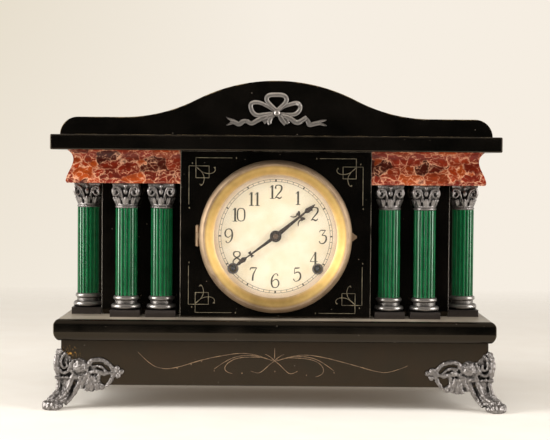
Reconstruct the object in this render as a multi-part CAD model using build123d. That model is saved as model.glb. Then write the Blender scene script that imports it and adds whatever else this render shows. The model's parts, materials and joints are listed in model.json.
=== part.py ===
from build123d import *

import os
from math import atan, atan2, cos, degrees, pi, radians, sin, sqrt

# Six-column mantel clock with a time-and-strike movement, a hinged bezel and a round back door.
# Millimetres. +Z is up, the dial faces -Y, and the origin is on the table under the middle of the clock.

# Heights, from the table up
FOOT_HEIGHT = 23.0
BASE_HEIGHT = 43.7
BASE_SLAB_THICKNESS = 21.1
PLINTH_HEIGHT = 6.8
COLUMN_BASE_HEIGHT = 13.6
SHAFT_HEIGHT = 86.0
CAPITAL_HEIGHT = 24.7
FRIEZE_HEIGHT = 32.3
TOP_SLAB_THICKNESS = 14.8
SHOULDER_HEIGHT = 17.5
CROWN_RISE = 36.4

# Case plan
BASE_SLAB_DEPTH = 175.0
BASE_SLAB_LEDGE = 11.0
BASE_SIDE_INSET = 6.5
BASE_FRONT_INSET = 10.0
BASE_WALL = 10.0
BASE_FLOOR = 8.0
SLAB_TOP_ROUND = 6.5
SLAB_UNDER_ROUND_HEIGHT = 8.6
SLAB_UNDER_ROUND_DEPTH = 4.1
CASE_BACK_INSET = 10.0
BOARD = 8.0
BACK_BOARD = 6.0
REAR_STILE_WIDTH = 24.0
REAR_STILE_DEPTH = 20.0
PANEL_WIDTH = 186.8
PANEL_INSET = 25.0
PANEL_PROJECTION = 31.0
TOP_SLAB_OVERHANG = 12.4
TOP_SLAB_SETBACK = 3.0
TOP_SLAB_ROUND = 1.5
PEDIMENT_END_INSET = 6.7
PEDIMENT_WALL = 9.0
CROWN_RUN = 150.0
CROWN_CONVEX_SHARE = 0.52

# Friezes: how far the moulding steps in from its widest line, against height
FRIEZE_OVERHANG = 0.4
FRIEZE_END_OVERHANG = 2.5
FRIEZE_LIP_HEIGHT = 2.0
FRIEZE_LIP_STEP = 1.0
FRIEZE_HOLLOW_STEP = 2.8
FRIEZE_HOLLOW_SHARE = 0.34
FRIEZE_NECK_STEP = 6.6
FRIEZE_NECK_SHARE = 0.70
FRIEZE_TOP_STEP = 1.5

# Columns
PLINTH_SIDE = 29.5
COLUMN_PANEL_GAP = 4.25
COLUMN_PITCH = 34.9
COLUMN_CASE_GAP = 11.45
SIDE_COLUMN_STEP = 28.0
TORUS_DIAMETER = 29.3
WAIST_DIAMETER = 22.0
RING_DIAMETER = 25.4
SHAFT_DIAMETER = 21.4
FLUTE_COUNT = 18
FLUTE_RADIUS = 1.35
CAPITAL_WIDTH = 28.2
ABACUS_THICKNESS = 4.2
ABACUS_HOLLOW = 2.6
ASTRAGAL_DIAMETER = 24.5
ASTRAGAL_HEIGHT = 3.4
BELL_DIAMETER = 20.0
VOLUTE_RADIUS = 4.4
VOLUTE_WIDTH = 4.6
VOLUTE_DROP = 8.4
LEAF_COUNT = 8
LEAF_RADIUS = 3.3

# Cast feet, measured from the corner of the base
FOOT_REACH = 18.0
FOOT_ARM_LENGTH = 62.0
FOOT_ARM_THICKNESS = 5.0
FOOT_SEAT = 26.0
FOOT_SEAT_THICKNESS = 4.0
FOOT_BALL_RADIUS = 8.9
FOOT_BALL_ALONG = 19.0
FOOT_BALL_RISE = 18.5
FOOT_BALL_OUT = 3.0
FOOT_LEAF_RADIUS = 6.4
FOOT_LEAF_HEIGHT = 26.0
FOOT_PAW_RADIUS = 8.0
FOOT_TOE_RADIUS = 4.0

# Ribbon ornament on the pediment
RIBBON_WIDTH = 6.0
RIBBON_THICKNESS = 3.0
RIBBON_RISE = 20.8

# Dial, hands and bezel
DIAL_DROP = 1.45
DIAL_RADIUS = 70.7
DIAL_THICKNESS = 0.5
DIAL_REBATE = 2.5
DIAL_SEAT = 5.0
DIAL_CENTRE_HOLE = 4.5
WINDING_HOLE = 4.3
GROMMET_FLANGE = 1.1
GROMMET_THICKNESS = 0.5
HAND_THICKNESS = 0.6
HOUR_HAND_LENGTH = 49.6
HOUR_HAND_ANGLE = 50.6
HOUR_HAND_BOSS = 5.7
HOUR_HAND_STEM = 2.4
HOUR_HAND_CROSS = 30.8
HOUR_HAND_ARM = 4.6
MINUTE_HAND_LENGTH = 47.8
MINUTE_HAND_ANGLE = 233.6
MINUTE_HAND_BOSS = 4.2
MINUTE_HAND_STEM = 1.8
MINUTE_HAND_CROSS = 29.8
MINUTE_HAND_ARM = 3.0
HAND_CROSS_HEIGHT = 3.8
HAND_CROSS_WAIST = 1.2
HAND_TIP_WIDTH = 0.8
HAND_STANDOFF = 2.1
HAND_STEP = 1.0
PIPE_WALL = 1.2
HAND_NUT_RADIUS = 2.6
HAND_NUT_HEIGHT = 1.0
BEZEL_RADIUS = 74.4
BEZEL_DEPTH = 13.3
BEZEL_CREST = 70.5
BEZEL_OPENING = 60.0
BEZEL_SHEET = 2.2
BEZEL_EDGE = 3.5
GLASS_RADIUS = 63.0
GLASS_THICKNESS = 2.0
GLASS_STANDOFF = 3.9
PULL_TAB_HEIGHT = 11.0
PULL_TAB_REACH = 5.0
BEZEL_HINGE_HEIGHT = 20.0
BEZEL_LEAF_WIDTH = 2.4

# Hinges, and the running clearances used all over
KNUCKLE_RADIUS = 1.4
HINGE_PIN_RADIUS = 0.6
LEAF_THICKNESS = 0.6
KNUCKLE_STANDOFF = 0.1
SHAFT_CLEARANCE = 0.05
SEAT_CLEARANCE = 0.2
SIDE_CLEARANCE = 0.3

# Back door
BACK_HOLE_RADIUS = 60.0
BACK_HOLE_DROP = 3.0
DOOR_LAP = 4.0
DOOR_THICKNESS = 1.0
DOOR_HINGE_HEIGHT = 30.0
DOOR_LEAF_WIDTH = 10.8

# Movement frame
PLATE_HALF_WIDTH = 72.0
PLATE_BOTTOM = -60.0
PLATE_TOP = 64.0
PLATE_CORNER = 8.0
PLATE_THICKNESS = 2.0
PLATE_GAP = 33.0
POST_LENGTH = 10.5
POST_RADIUS = 5.0
PILLAR_INSET = 6.0
PILLAR_RADIUS = 3.5
PILLAR_NUT_RADIUS = 5.0
PILLAR_NUT_HEIGHT = 3.0
ARBOR_RADIUS = 1.5
PIVOT_RADIUS = 0.6
END_SHAKE = 0.4
SHROUD_THICKNESS = 0.8
MESH_GAP = 0.5

# Depth of each wheel behind the inner face of the front plate
MAIN_LAYER = 26.0
MAIN_THICKNESS = 2.5
SECOND_LAYER = 22.0
CENTRE_LAYER = 14.0
FOURTH_LAYER = 9.0
ESCAPE_LAYER = 28.0
PIN_LAYER = 14.0
WARNING_LAYER = 18.0
FLY_LAYER = 4.0
FLY_LENGTH = 8.0
FLY_SPAN = 18.0
FLY_BLADE = 0.8
SPRING_LAYER = 3.0
SPRING_WIDTH = 17.0
RATCHET_LAYER = 23.6
WHEEL_THICKNESS = 1.3

# Motion work in front of the front plate
MOTION_STANDOFF = 5.0
HOUR_WHEEL_STEP = 5.0
STUD_RADIUS = 1.2
STUD_SLEEVE = 0.6
STUD_END = 2.0

# Teeth of each wheel, leaves of the pinion it drives, and the module they share
MAIN_GEARS = (72, 12, 0.75)
SECOND_GEARS = (48, 12, 0.80)
CENTRE_GEARS = (75, 6, 0.55)
FOURTH_GEARS = (75, 6, 0.48)
STRIKE_SECOND_GEARS = (48, 8, 0.80)
PIN_GEARS = (60, 8, 0.60)
WARNING_GEARS = (50, 7, 0.50)
CANNON_GEARS = (36, 12, 0.60)
HOUR_TEETH = 40
HOUR_LEAVES = 10

# Bearings of the arbors from each other, in degrees seen from the front
SECOND_BEARING = -14.9
MAIN_BEARING = -54.5
FOURTH_BEARING = 62.0
STRIKE_SECOND_BEARING = 80.0
PIN_BEARING = 95.0
WARNING_BEARING = 20.0
FLY_BEARING = 110.0
MINUTE_WHEEL_BEARING = 225.0

# Winding arbors, mainsprings, escapement
WINDING_RADIUS = 2.6
WINDING_PIVOT = 2.2
WINDING_SQUARE = 3.0
WINDING_SETBACK = 1.0
RATCHET_TEETH = 18
RATCHET_RADIUS = 9.0
RATCHET_THICKNESS = 1.8
CLICK_WIDTH = 3.0
CLICK_BEARING = 150.0
SPRING_STRIP = 0.5
SPRING_TURNS = 6
SPRING_ANCHOR_GAP = 0.35
ESCAPE_TEETH = 36
ESCAPE_RADIUS = 12.0
VERGE_RISE = 15.5
PALLET_CLEARANCE = 1.2
ANCHOR_HALF_SPAN = 10.0
CRUTCH_LENGTH = 44.0
CRUTCH_RADIUS = 0.8
CRUTCH_SETBACK = 3.0
PENDULUM_SETBACK = 8.0
PENDULUM_LENGTH = 101.8
PENDULUM_WIRE = 0.9
SUSPENSION_LENGTH = 11.0
SUSPENSION_WIDTH = 3.6
SUSPENSION_SHEET = 0.3
COCK_HALF_WIDTH = 4.0
COCK_LIFT = 4.5
COCK_LIP = 0.6
BOB_RADIUS = 17.0
BOB_THICKNESS = 9.0
BOB_EDGE = 3.0
RATING_NUT_RADIUS = 3.2
RATING_NUT_HEIGHT = 2.6

# Gong and hammer
GONG_SIDE_GAP = 50.5
GONG_RISE = 52.0
GONG_SETBACK = 32.0
GONG_WIRE = 1.5
GONG_INNER_RADIUS = 9.0
GONG_PITCH = 7.2
GONG_TURNS = 4
GONG_POST_RADIUS = 4.0
GONG_FOOT_WIDTH = 36.0
GONG_FOOT_DEPTH = 24.0
GONG_FOOT_HEIGHT = 6.0
HAMMER_ACROSS = -56.0
HAMMER_RISE = 44.0
HAMMER_ARBOR_RADIUS = 1.6
HAMMER_WIRE = 1.3
HAMMER_HEAD_RADIUS = 4.0
HAMMER_HEAD_LENGTH = 9.0
HAMMER_GAP = 3.2
HAMMER_ALONG = 10.0
HAMMER_PIN_RADIUS = 0.6
HAMMER_PIN_LENGTH = 2.4
HAMMER_PIN_COUNT = 6
HAMMER_TAIL_WIDTH = 2.0

# Levels and planes that follow from the sizes above
SLAB_Z = FOOT_HEIGHT + BASE_HEIGHT
LEDGE_Z = SLAB_Z + BASE_SLAB_THICKNESS
COLUMN_HEIGHT = PLINTH_HEIGHT + COLUMN_BASE_HEIGHT + SHAFT_HEIGHT + CAPITAL_HEIGHT
FRIEZE_Z = LEDGE_Z + COLUMN_HEIGHT
TOP_Z = FRIEZE_Z + FRIEZE_HEIGHT
PEDIMENT_Z = TOP_Z + TOP_SLAB_THICKNESS
DIAL_Z = (LEDGE_Z + TOP_Z) / 2 - DIAL_DROP

PANEL_HALF = PANEL_WIDTH / 2
FRONT_COLUMN_INNER = PANEL_HALF + COLUMN_PANEL_GAP + PLINTH_SIDE / 2
FRONT_COLUMN_OUTER = FRONT_COLUMN_INNER + COLUMN_PITCH
CASE_HALF = FRONT_COLUMN_OUTER + PLINTH_SIDE / 2 + COLUMN_CASE_GAP
SIDE_COLUMN = CASE_HALF + PLINTH_SIDE / 2
COLUMNS_END = SIDE_COLUMN + PLINTH_SIDE / 2
BASE_SLAB_WIDTH = 2 * (COLUMNS_END + BASE_SLAB_LEDGE)
FRIEZE_END = COLUMNS_END + FRIEZE_END_OVERHANG
TOP_SLAB_WIDTH = 2 * (FRIEZE_END + TOP_SLAB_OVERHANG)
TOP_SLAB_DEPTH = BASE_SLAB_DEPTH - 2 * TOP_SLAB_SETBACK
PEDIMENT_WIDTH = TOP_SLAB_WIDTH - 2 * PEDIMENT_END_INSET
BASE_HALF_WIDTH = BASE_SLAB_WIDTH / 2 - BASE_SIDE_INSET
BASE_HALF_DEPTH = BASE_SLAB_DEPTH / 2 - BASE_FRONT_INSET
CASE_BACK = BASE_SLAB_DEPTH / 2 - CASE_BACK_INSET
PANEL_FRONT = PANEL_INSET - BASE_SLAB_DEPTH / 2
RECESS = PANEL_FRONT + PANEL_PROJECTION
FRONT_COLUMN_Y = PANEL_FRONT + PLINTH_SIDE / 2
PEDIMENT_FRONT = PANEL_FRONT
PEDIMENT_DEPTH = -2 * PEDIMENT_FRONT
BACK_HOLE_Z = DIAL_Z - BACK_HOLE_DROP

PLATE_FRONT = PANEL_FRONT + BOARD + POST_LENGTH
INNER_FRONT = PLATE_FRONT + PLATE_THICKNESS
INNER_BACK = INNER_FRONT + PLATE_GAP
PLATE_REAR = INNER_BACK + PLATE_THICKNESS
DIAL_BACK = PANEL_FRONT + DIAL_REBATE
DIAL_FRONT = DIAL_BACK - DIAL_THICKNESS
GLASS_BACK = PANEL_FRONT - GLASS_STANDOFF
MOTION_LAYER = PLATE_FRONT - MOTION_STANDOFF
HOUR_LAYER = MOTION_LAYER - HOUR_WHEEL_STEP
PENDULUM_Y = PLATE_REAR + PENDULUM_SETBACK
GONG_Y = PLATE_REAR + GONG_SETBACK
GONG_ACROSS = GONG_SIDE_GAP + BOARD - CASE_HALF


def block(x0, x1, y0, y1, z0, z1):
    """A box between two corners."""
    corner = (Align.MIN, Align.MIN, Align.MIN)
    return Pos(x0, y0, z0) * Box(x1 - x0, y1 - y0, z1 - z0, align=corner)


def face_plane(y):
    """The plane of a flat piece seen from the front: x to the right, y up, centred on the dial."""
    return Plane((0, y, DIAL_Z), x_dir=(1, 0, 0), z_dir=(0, -1, 0))


def sheet(sketch, front, back):
    """A flat piece drawn as seen from the front, between two depths."""
    return face_plane(back) * extrude(sketch, amount=back - front, dir=(0, 0, 1))


def disc(at, radius, front, back):
    """A round bar along Y, placed from the centre of the dial."""
    return sheet(Pos(*at) * Circle(radius), front, back)


def upright(x, y, radius, z0, z1):
    """A round bar along Z."""
    return Pos(x, y, z0) * Cylinder(radius, z1 - z0, align=(Align.CENTER, Align.CENTER, Align.MIN))


def polar(distance, bearing):
    """A step of some distance in a bearing given in degrees."""
    return Vector(distance * cos(radians(bearing)), distance * sin(radians(bearing)))


def bearing_between(start, end):
    """The bearing in degrees from one arbor to another."""
    return degrees(atan2(end.Y - start.Y, end.X - start.X))


# Case


def moulded_block(width, depth, z, edge):
    """A slab whose four sides follow one edge outline, given as a wire of (step in, height)."""
    top = (edge @ 1).Y
    front = make_face([edge, Polyline(edge @ 1, (depth / 2, top), (depth / 2, 0), edge @ 0)])
    side = make_face([edge, Polyline(edge @ 1, (width / 2, top), (width / 2, 0), edge @ 0)])
    front_half = Plane((-width / 2, -depth / 2, z), x_dir=(0, 1, 0), z_dir=(1, 0, 0)) * extrude(front, width)
    side_half = Plane((-width / 2, depth / 2, z), x_dir=(1, 0, 0), z_dir=(0, -1, 0)) * extrude(side, depth)
    along_x = front_half + mirror(front_half, about=Plane.XZ)
    along_y = side_half + mirror(side_half, about=Plane.YZ)
    return along_x & along_y


def base_box():
    outer = block(-BASE_HALF_WIDTH, BASE_HALF_WIDTH, -BASE_HALF_DEPTH, BASE_HALF_DEPTH, FOOT_HEIGHT, SLAB_Z)
    inner_x = BASE_HALF_WIDTH - BASE_WALL
    inner_y = BASE_HALF_DEPTH - BASE_WALL
    return outer - block(-inner_x, inner_x, -inner_y, inner_y, FOOT_HEIGHT + BASE_FLOOR, SLAB_Z)


def base_slab():
    round_start = BASE_SLAB_THICKNESS - SLAB_TOP_ROUND
    round_middle = SLAB_TOP_ROUND * (1 - sqrt(0.5))
    under_height = SLAB_UNDER_ROUND_HEIGHT
    under_depth = SLAB_UNDER_ROUND_DEPTH
    # The lower round runs upright into the flat band, which sets its radius
    under_radius = (under_depth**2 + under_height**2) / (2 * under_depth)
    half_turn = atan2(under_height, under_radius - under_depth) / 2
    under_middle = (under_radius * (1 - cos(half_turn)), under_height - under_radius * sin(half_turn))
    edge = Wire(
        [
            ThreePointArc((under_depth, 0), under_middle, (0, under_height)),
            Line((0, under_height), (0, round_start)),
            ThreePointArc(
                (0, round_start),
                (round_middle, BASE_SLAB_THICKNESS - round_middle),
                (SLAB_TOP_ROUND, BASE_SLAB_THICKNESS),
            ),
        ]
    )
    return moulded_block(BASE_SLAB_WIDTH, BASE_SLAB_DEPTH, SLAB_Z, edge)


def top_slab():
    slab = block(
        -TOP_SLAB_WIDTH / 2, TOP_SLAB_WIDTH / 2, -TOP_SLAB_DEPTH / 2, TOP_SLAB_DEPTH / 2, TOP_Z, PEDIMENT_Z
    )
    return fillet(slab.edges(), TOP_SLAB_ROUND)


def case_side():
    """The right-hand side board, with a stile at its back that carries the end of the frieze."""
    board = block(CASE_HALF - BOARD, CASE_HALF, RECESS, CASE_BACK, LEDGE_Z, TOP_Z)
    stile_end = CASE_HALF + REAR_STILE_WIDTH
    return board + block(CASE_HALF, stile_end, CASE_BACK - REAR_STILE_DEPTH, CASE_BACK, LEDGE_Z, FRIEZE_Z)


def front_board():
    """The recessed board behind the columns, cut out for the movement."""
    inner = CASE_HALF - BOARD
    opening = PANEL_HALF - BOARD - SIDE_CLEARANCE
    board = block(-inner, inner, RECESS, RECESS + BOARD, LEDGE_Z, TOP_Z)
    return board - block(-opening, opening, RECESS, RECESS + BOARD, LEDGE_Z + BOARD, TOP_Z - BOARD)


def dial_panel():
    """The breakfront: a front and two returns, bored for the movement and rebated for the dial."""
    inner = PANEL_HALF - BOARD
    panel = block(-PANEL_HALF, PANEL_HALF, PANEL_FRONT, RECESS, LEDGE_Z, TOP_Z)
    panel -= block(-inner, inner, PANEL_FRONT + BOARD, RECESS, LEDGE_Z, TOP_Z)
    panel -= disc((0, 0), DIAL_RADIUS - DIAL_SEAT, PANEL_FRONT, PANEL_FRONT + BOARD)
    return panel - disc((0, 0), DIAL_RADIUS + SIDE_CLEARANCE, PANEL_FRONT, DIAL_BACK)


def back_board():
    inner = CASE_HALF - BOARD
    board = block(-inner, inner, CASE_BACK - BACK_BOARD, CASE_BACK, LEDGE_Z, TOP_Z)
    hole_at = (0, BACK_HOLE_Z - DIAL_Z)
    return board - disc(hole_at, BACK_HOLE_RADIUS, CASE_BACK - BACK_BOARD, CASE_BACK)


def frieze():
    """The right-hand frieze: a hollow moulding round the corner, with a mitred return to the back."""
    outer = FRIEZE_END
    front = PANEL_FRONT - FRIEZE_OVERHANG
    bottom = (FRIEZE_LIP_STEP, 0)
    lip = (0, FRIEZE_LIP_HEIGHT)
    hollow = (FRIEZE_HOLLOW_STEP, FRIEZE_HOLLOW_SHARE * FRIEZE_HEIGHT)
    neck = (FRIEZE_NECK_STEP, FRIEZE_NECK_SHARE * FRIEZE_HEIGHT)
    top = (FRIEZE_TOP_STEP, FRIEZE_HEIGHT)
    width = outer - PANEL_HALF
    depth = CASE_BACK - front

    def moulding(run):
        back = Polyline(top, (run, FRIEZE_HEIGHT), (run, 0), bottom)
        return make_face([Line(bottom, lip), Spline(lip, hollow, neck, top), back])

    front_run = Plane((PANEL_HALF, front, FRIEZE_Z), x_dir=(0, 1, 0), z_dir=(1, 0, 0))
    side_run = Plane((outer, front, FRIEZE_Z), x_dir=(-1, 0, 0), z_dir=(0, 1, 0))
    solid = (front_run * extrude(moulding(depth), width)) & (side_run * extrude(moulding(width), depth))
    return solid - block(PANEL_HALF, CASE_HALF, RECESS, CASE_BACK, FRIEZE_Z, TOP_Z)


def pediment_outline(inset=0.0):
    """The crown, an ogee down to each shoulder, and a quarter round at each end, moved in by the inset."""
    end_centre = PEDIMENT_WIDTH / 2 - SHOULDER_HEIGHT
    shoulder = SHOULDER_HEIGHT - inset
    crown = SHOULDER_HEIGHT + CROWN_RISE - inset
    lean = 2 * atan(CROWN_RISE / CROWN_RUN)
    convex = CROWN_CONVEX_SHARE * CROWN_RUN / sin(lean) - inset
    concave = (1 - CROWN_CONVEX_SHARE) * CROWN_RUN / sin(lean) + inset
    turn = (convex * sin(lean), crown - convex * (1 - cos(lean)))
    convex_middle = (convex * sin(lean / 2), crown - convex * (1 - cos(lean / 2)))
    concave_middle = (CROWN_RUN - concave * sin(lean / 2), shoulder + concave * (1 - cos(lean / 2)))
    end_middle = (end_centre + shoulder * sqrt(0.5), shoulder * sqrt(0.5))
    right = [
        Line((0, 0), (end_centre + shoulder, 0)),
        ThreePointArc((end_centre + shoulder, 0), end_middle, (end_centre, shoulder)),
        Line((end_centre, shoulder), (CROWN_RUN, shoulder)),
        ThreePointArc((CROWN_RUN, shoulder), concave_middle, turn),
        ThreePointArc(turn, convex_middle, (0, crown)),
        Line((0, crown), (0, 0)),
    ]
    half_face = make_face(right)
    return half_face + mirror(half_face, about=Plane.YZ)


def pediment():
    """A hump as deep as the case top allows, hollow and open below."""
    stand = Plane((0, -PEDIMENT_FRONT, PEDIMENT_Z), x_dir=(1, 0, 0), z_dir=(0, -1, 0))
    inside = Plane((0, -PEDIMENT_FRONT - PEDIMENT_WALL, PEDIMENT_Z), x_dir=(1, 0, 0), z_dir=(0, -1, 0))
    hollow = Pos(0, -PEDIMENT_WALL) * pediment_outline(PEDIMENT_WALL)
    solid = stand * extrude(pediment_outline(), PEDIMENT_DEPTH)
    return solid - inside * extrude(hollow, PEDIMENT_DEPTH - 2 * PEDIMENT_WALL)


def ribbon_ornament():
    """A bow with three loops and two waving tails, cast in one flat piece."""
    top_loop = Ellipse(12, 11) - Pos(0, 1.5) * Ellipse(5.2, 4)
    side_loop = Ellipse(11.4, 7.5) - Ellipse(5.6, 2.6)
    bow = Pos(0, 9.5) * top_loop + Circle(0.8 * RIBBON_WIDTH)
    for side in (1, -1):
        tail_points = [(0, -2), (14, -7.5), (25, -3.2), (36, -7.8), (47.5, -6.0)]
        tail = Spline(*[(side * x, y) for x, y in tail_points])
        drop = Line((0, 0), (side * 9.5, -8.8))
        bow += Pos(side * 14, 3.4) * Rot(0, 0, side * 24) * side_loop
        bow += trace(tail, RIBBON_WIDTH)
        bow += trace(drop, 0.75 * RIBBON_WIDTH)
    front_plane = Plane((0, PEDIMENT_FRONT, PEDIMENT_Z + RIBBON_RISE), x_dir=(1, 0, 0), z_dir=(0, -1, 0))
    return front_plane * extrude(bow, RIBBON_THICKNESS, dir=(0, 0, 1))


# Feet


def foot_arm():
    """The pierced scroll that lies along one face of the base, drawn along the face and up."""
    tip = FOOT_ARM_LENGTH
    outline = Spline(
        (0, FOOT_HEIGHT + 12),
        (tip * 0.30, FOOT_HEIGHT + 19),
        (tip * 0.58, FOOT_HEIGHT + 23.5),
        (tip * 0.84, FOOT_HEIGHT + 17.5),
        (tip, FOOT_HEIGHT + 13),
        (tip * 0.92, FOOT_HEIGHT + 6),
        (tip * 0.74, FOOT_HEIGHT - 2),
        (tip * 0.56, FOOT_HEIGHT - 8),
        (tip * 0.24, FOOT_HEIGHT - 9.5),
        (tip * 0.03, FOOT_HEIGHT - 3),
        periodic=True,
    )
    arm = make_face(outline)
    arm -= Pos(tip * 0.46, FOOT_HEIGHT + 1) * Rot(0, 0, 20) * Ellipse(6.0, 3.4)
    return arm - Pos(tip * 0.66, FOOT_HEIGHT + 13) * Ellipse(4.2, 3.0)


def foot():
    """The front left foot, drawn with the corner of the base above the origin."""
    toe_ring = FOOT_PAW_RADIUS - 1.0
    toe_turns = (-70, -22, 22, 70)
    heel = FOOT_TOE_RADIUS - FOOT_REACH - toe_ring * cos(radians(225 - 22))
    leg_rings = [
        (FOOT_HEIGHT, 6.0, 9.0),
        (FOOT_HEIGHT * 0.70, 4.0, 7.2),
        (FOOT_HEIGHT * 0.40, -1.8, 7.4),
        (FOOT_HEIGHT * 0.16, heel + 0.5, FOOT_PAW_RADIUS + 0.4),
        (0, heel, FOOT_PAW_RADIUS),
    ]
    cast = loft([Pos(along, along, z) * Circle(radius) for z, along, radius in leg_rings])
    for turn in toe_turns:
        toe_at = polar(toe_ring, 225 + turn)
        cast += Pos(heel + toe_at.X, heel + toe_at.Y, FOOT_TOE_RADIUS * 0.7) * Sphere(FOOT_TOE_RADIUS)
    cast += block(0, FOOT_SEAT, 0, FOOT_SEAT, FOOT_HEIGHT - FOOT_SEAT_THICKNESS, FOOT_HEIGHT)
    leaf_half = make_face(
        [
            EllipticalCenterArc(
                (0, 0), FOOT_LEAF_RADIUS, FOOT_LEAF_HEIGHT / 2, start_angle=-90, arc_size=180
            ),
            Line((0, FOOT_LEAF_HEIGHT / 2), (0, -FOOT_LEAF_HEIGHT / 2)),
        ]
    )
    leaf_z = FOOT_HEIGHT + FOOT_BALL_RISE + 4
    cast += Pos(0, 0, leaf_z) * revolve(Plane.XZ * leaf_half, Axis.Z)
    ball_z = FOOT_HEIGHT + FOOT_BALL_RISE
    arm = foot_arm()
    side_face = Plane((-FOOT_ARM_THICKNESS, 0, 0), x_dir=(0, 1, 0), z_dir=(1, 0, 0))
    cast += Plane.XZ * extrude(arm, FOOT_ARM_THICKNESS, dir=(0, 0, 1))
    cast += side_face * extrude(arm, FOOT_ARM_THICKNESS, dir=(0, 0, 1))
    cast += Pos(FOOT_BALL_ALONG, -FOOT_BALL_OUT, ball_z) * Sphere(FOOT_BALL_RADIUS)
    cast += Pos(-FOOT_BALL_OUT, FOOT_BALL_ALONG, ball_z) * Sphere(FOOT_BALL_RADIUS)
    room = 2 * FOOT_ARM_LENGTH
    below = block(-room, room, -room, room, -room, 0)
    base_corner = block(0, room, 0, room, FOOT_HEIGHT, FOOT_HEIGHT + BASE_HEIGHT)
    return cast - below - base_corner


# Columns


def column_spots():
    """The six column centres, left side first."""
    right = [
        (FRONT_COLUMN_INNER, FRONT_COLUMN_Y),
        (FRONT_COLUMN_OUTER, FRONT_COLUMN_Y),
        (SIDE_COLUMN, FRONT_COLUMN_Y + SIDE_COLUMN_STEP),
    ]
    return [(-x, y) for x, y in right] + right


def row_of_columns(piece, z):
    """Six copies of one column piece."""
    return Compound([Pos(x, y, z) * piece for x, y in column_spots()])


def column_base():
    """A square plinth under a torus, a waist and a ring."""
    torus = TORUS_DIAMETER / 2
    waist = WAIST_DIAMETER / 2
    ring = RING_DIAMETER / 2
    height = COLUMN_BASE_HEIGHT
    torus_top = height * 0.42
    ring_foot = height * 0.66
    flat = torus - torus_top / 2
    section = make_face(
        [
            Line((0, 0), (flat, 0)),
            ThreePointArc((flat, 0), (torus, torus_top / 2), (flat, torus_top)),
            Line((flat, torus_top), (waist, torus_top)),
            Line((waist, torus_top), (waist, ring_foot)),
            ThreePointArc((waist, ring_foot), (ring, (ring_foot + height) / 2), (waist, height)),
            Line((waist, height), (0, height)),
            Line((0, height), (0, 0)),
        ]
    )
    turned = Pos(0, 0, PLINTH_HEIGHT) * revolve(Plane.XZ * section, Axis.Z)
    half = PLINTH_SIDE / 2
    return block(-half, half, -half, half, 0, PLINTH_HEIGHT) + turned


def column_shaft():
    """A fluted shaft."""
    radius = SHAFT_DIAMETER / 2
    section = Circle(radius) - PolarLocations(radius, FLUTE_COUNT) * Circle(FLUTE_RADIUS)
    return extrude(section, SHAFT_HEIGHT)


def column_capital():
    """A bell with a leaf collar, four corner volutes and a hollow-sided abacus."""
    half = CAPITAL_WIDTH / 2
    neck = SHAFT_DIAMETER / 2
    bell = BELL_DIAMETER / 2
    lip = half * 0.86
    abacus_foot = CAPITAL_HEIGHT - ABACUS_THICKNESS
    section = make_face(
        [
            Line((0, 0), (neck, 0)),
            ThreePointArc((neck, 0), (ASTRAGAL_DIAMETER / 2, ASTRAGAL_HEIGHT / 2), (neck, ASTRAGAL_HEIGHT)),
            Line((neck, ASTRAGAL_HEIGHT), (bell, ASTRAGAL_HEIGHT)),
            ThreePointArc((bell, ASTRAGAL_HEIGHT), (bell * 1.02, abacus_foot / 2), (lip, abacus_foot)),
            Line((lip, abacus_foot), (0, abacus_foot)),
            Line((0, abacus_foot), (0, 0)),
        ]
    )
    capital = revolve(Plane.XZ * section, Axis.Z)
    sagitta = ABACUS_HOLLOW
    hollow_radius = (half**2 + sagitta**2) / (2 * sagitta)
    plan = Rectangle(CAPITAL_WIDTH, CAPITAL_WIDTH)
    for quarter in range(4):
        plan -= Rot(0, 0, 90 * quarter) * Pos(half - sagitta + hollow_radius, 0) * Circle(hollow_radius)
    capital += Pos(0, 0, abacus_foot) * extrude(plan, ABACUS_THICKNESS)
    volute = Rot(90, 0, 0) * Cylinder(VOLUTE_RADIUS, VOLUTE_WIDTH)
    reach = half * sqrt(2) - VOLUTE_RADIUS - VOLUTE_WIDTH / 2
    for quarter in range(4):
        corner = Rot(0, 0, 45 + 90 * quarter)
        capital += corner * Pos(reach, 0, CAPITAL_HEIGHT - VOLUTE_DROP) * volute
    leaf = Pos(bell, 0, ASTRAGAL_HEIGHT + 0.8 * LEAF_RADIUS) * Sphere(LEAF_RADIUS)
    for turn in range(LEAF_COUNT):
        capital += Rot(0, 0, (turn + 0.5) * 360 / LEAF_COUNT) * leaf
    return capital


# Bezel, dial and hands


def hinge_barrel(x, y, z0, z1, radius, bore):
    """One knuckle of a hinge."""
    return upright(x, y, radius, z0, z1) - upright(x, y, bore, z0, z1)


BEZEL_HINGE_X = -(BEZEL_RADIUS + SIDE_CLEARANCE + KNUCKLE_RADIUS)
BEZEL_HINGE_Y = PANEL_FRONT - KNUCKLE_RADIUS - KNUCKLE_STANDOFF
BEZEL_KNUCKLE = BEZEL_HINGE_HEIGHT / 6
FIXED_BORE = HINGE_PIN_RADIUS + SHAFT_CLEARANCE / 2
TURNING_BORE = HINGE_PIN_RADIUS + SHAFT_CLEARANCE


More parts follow.
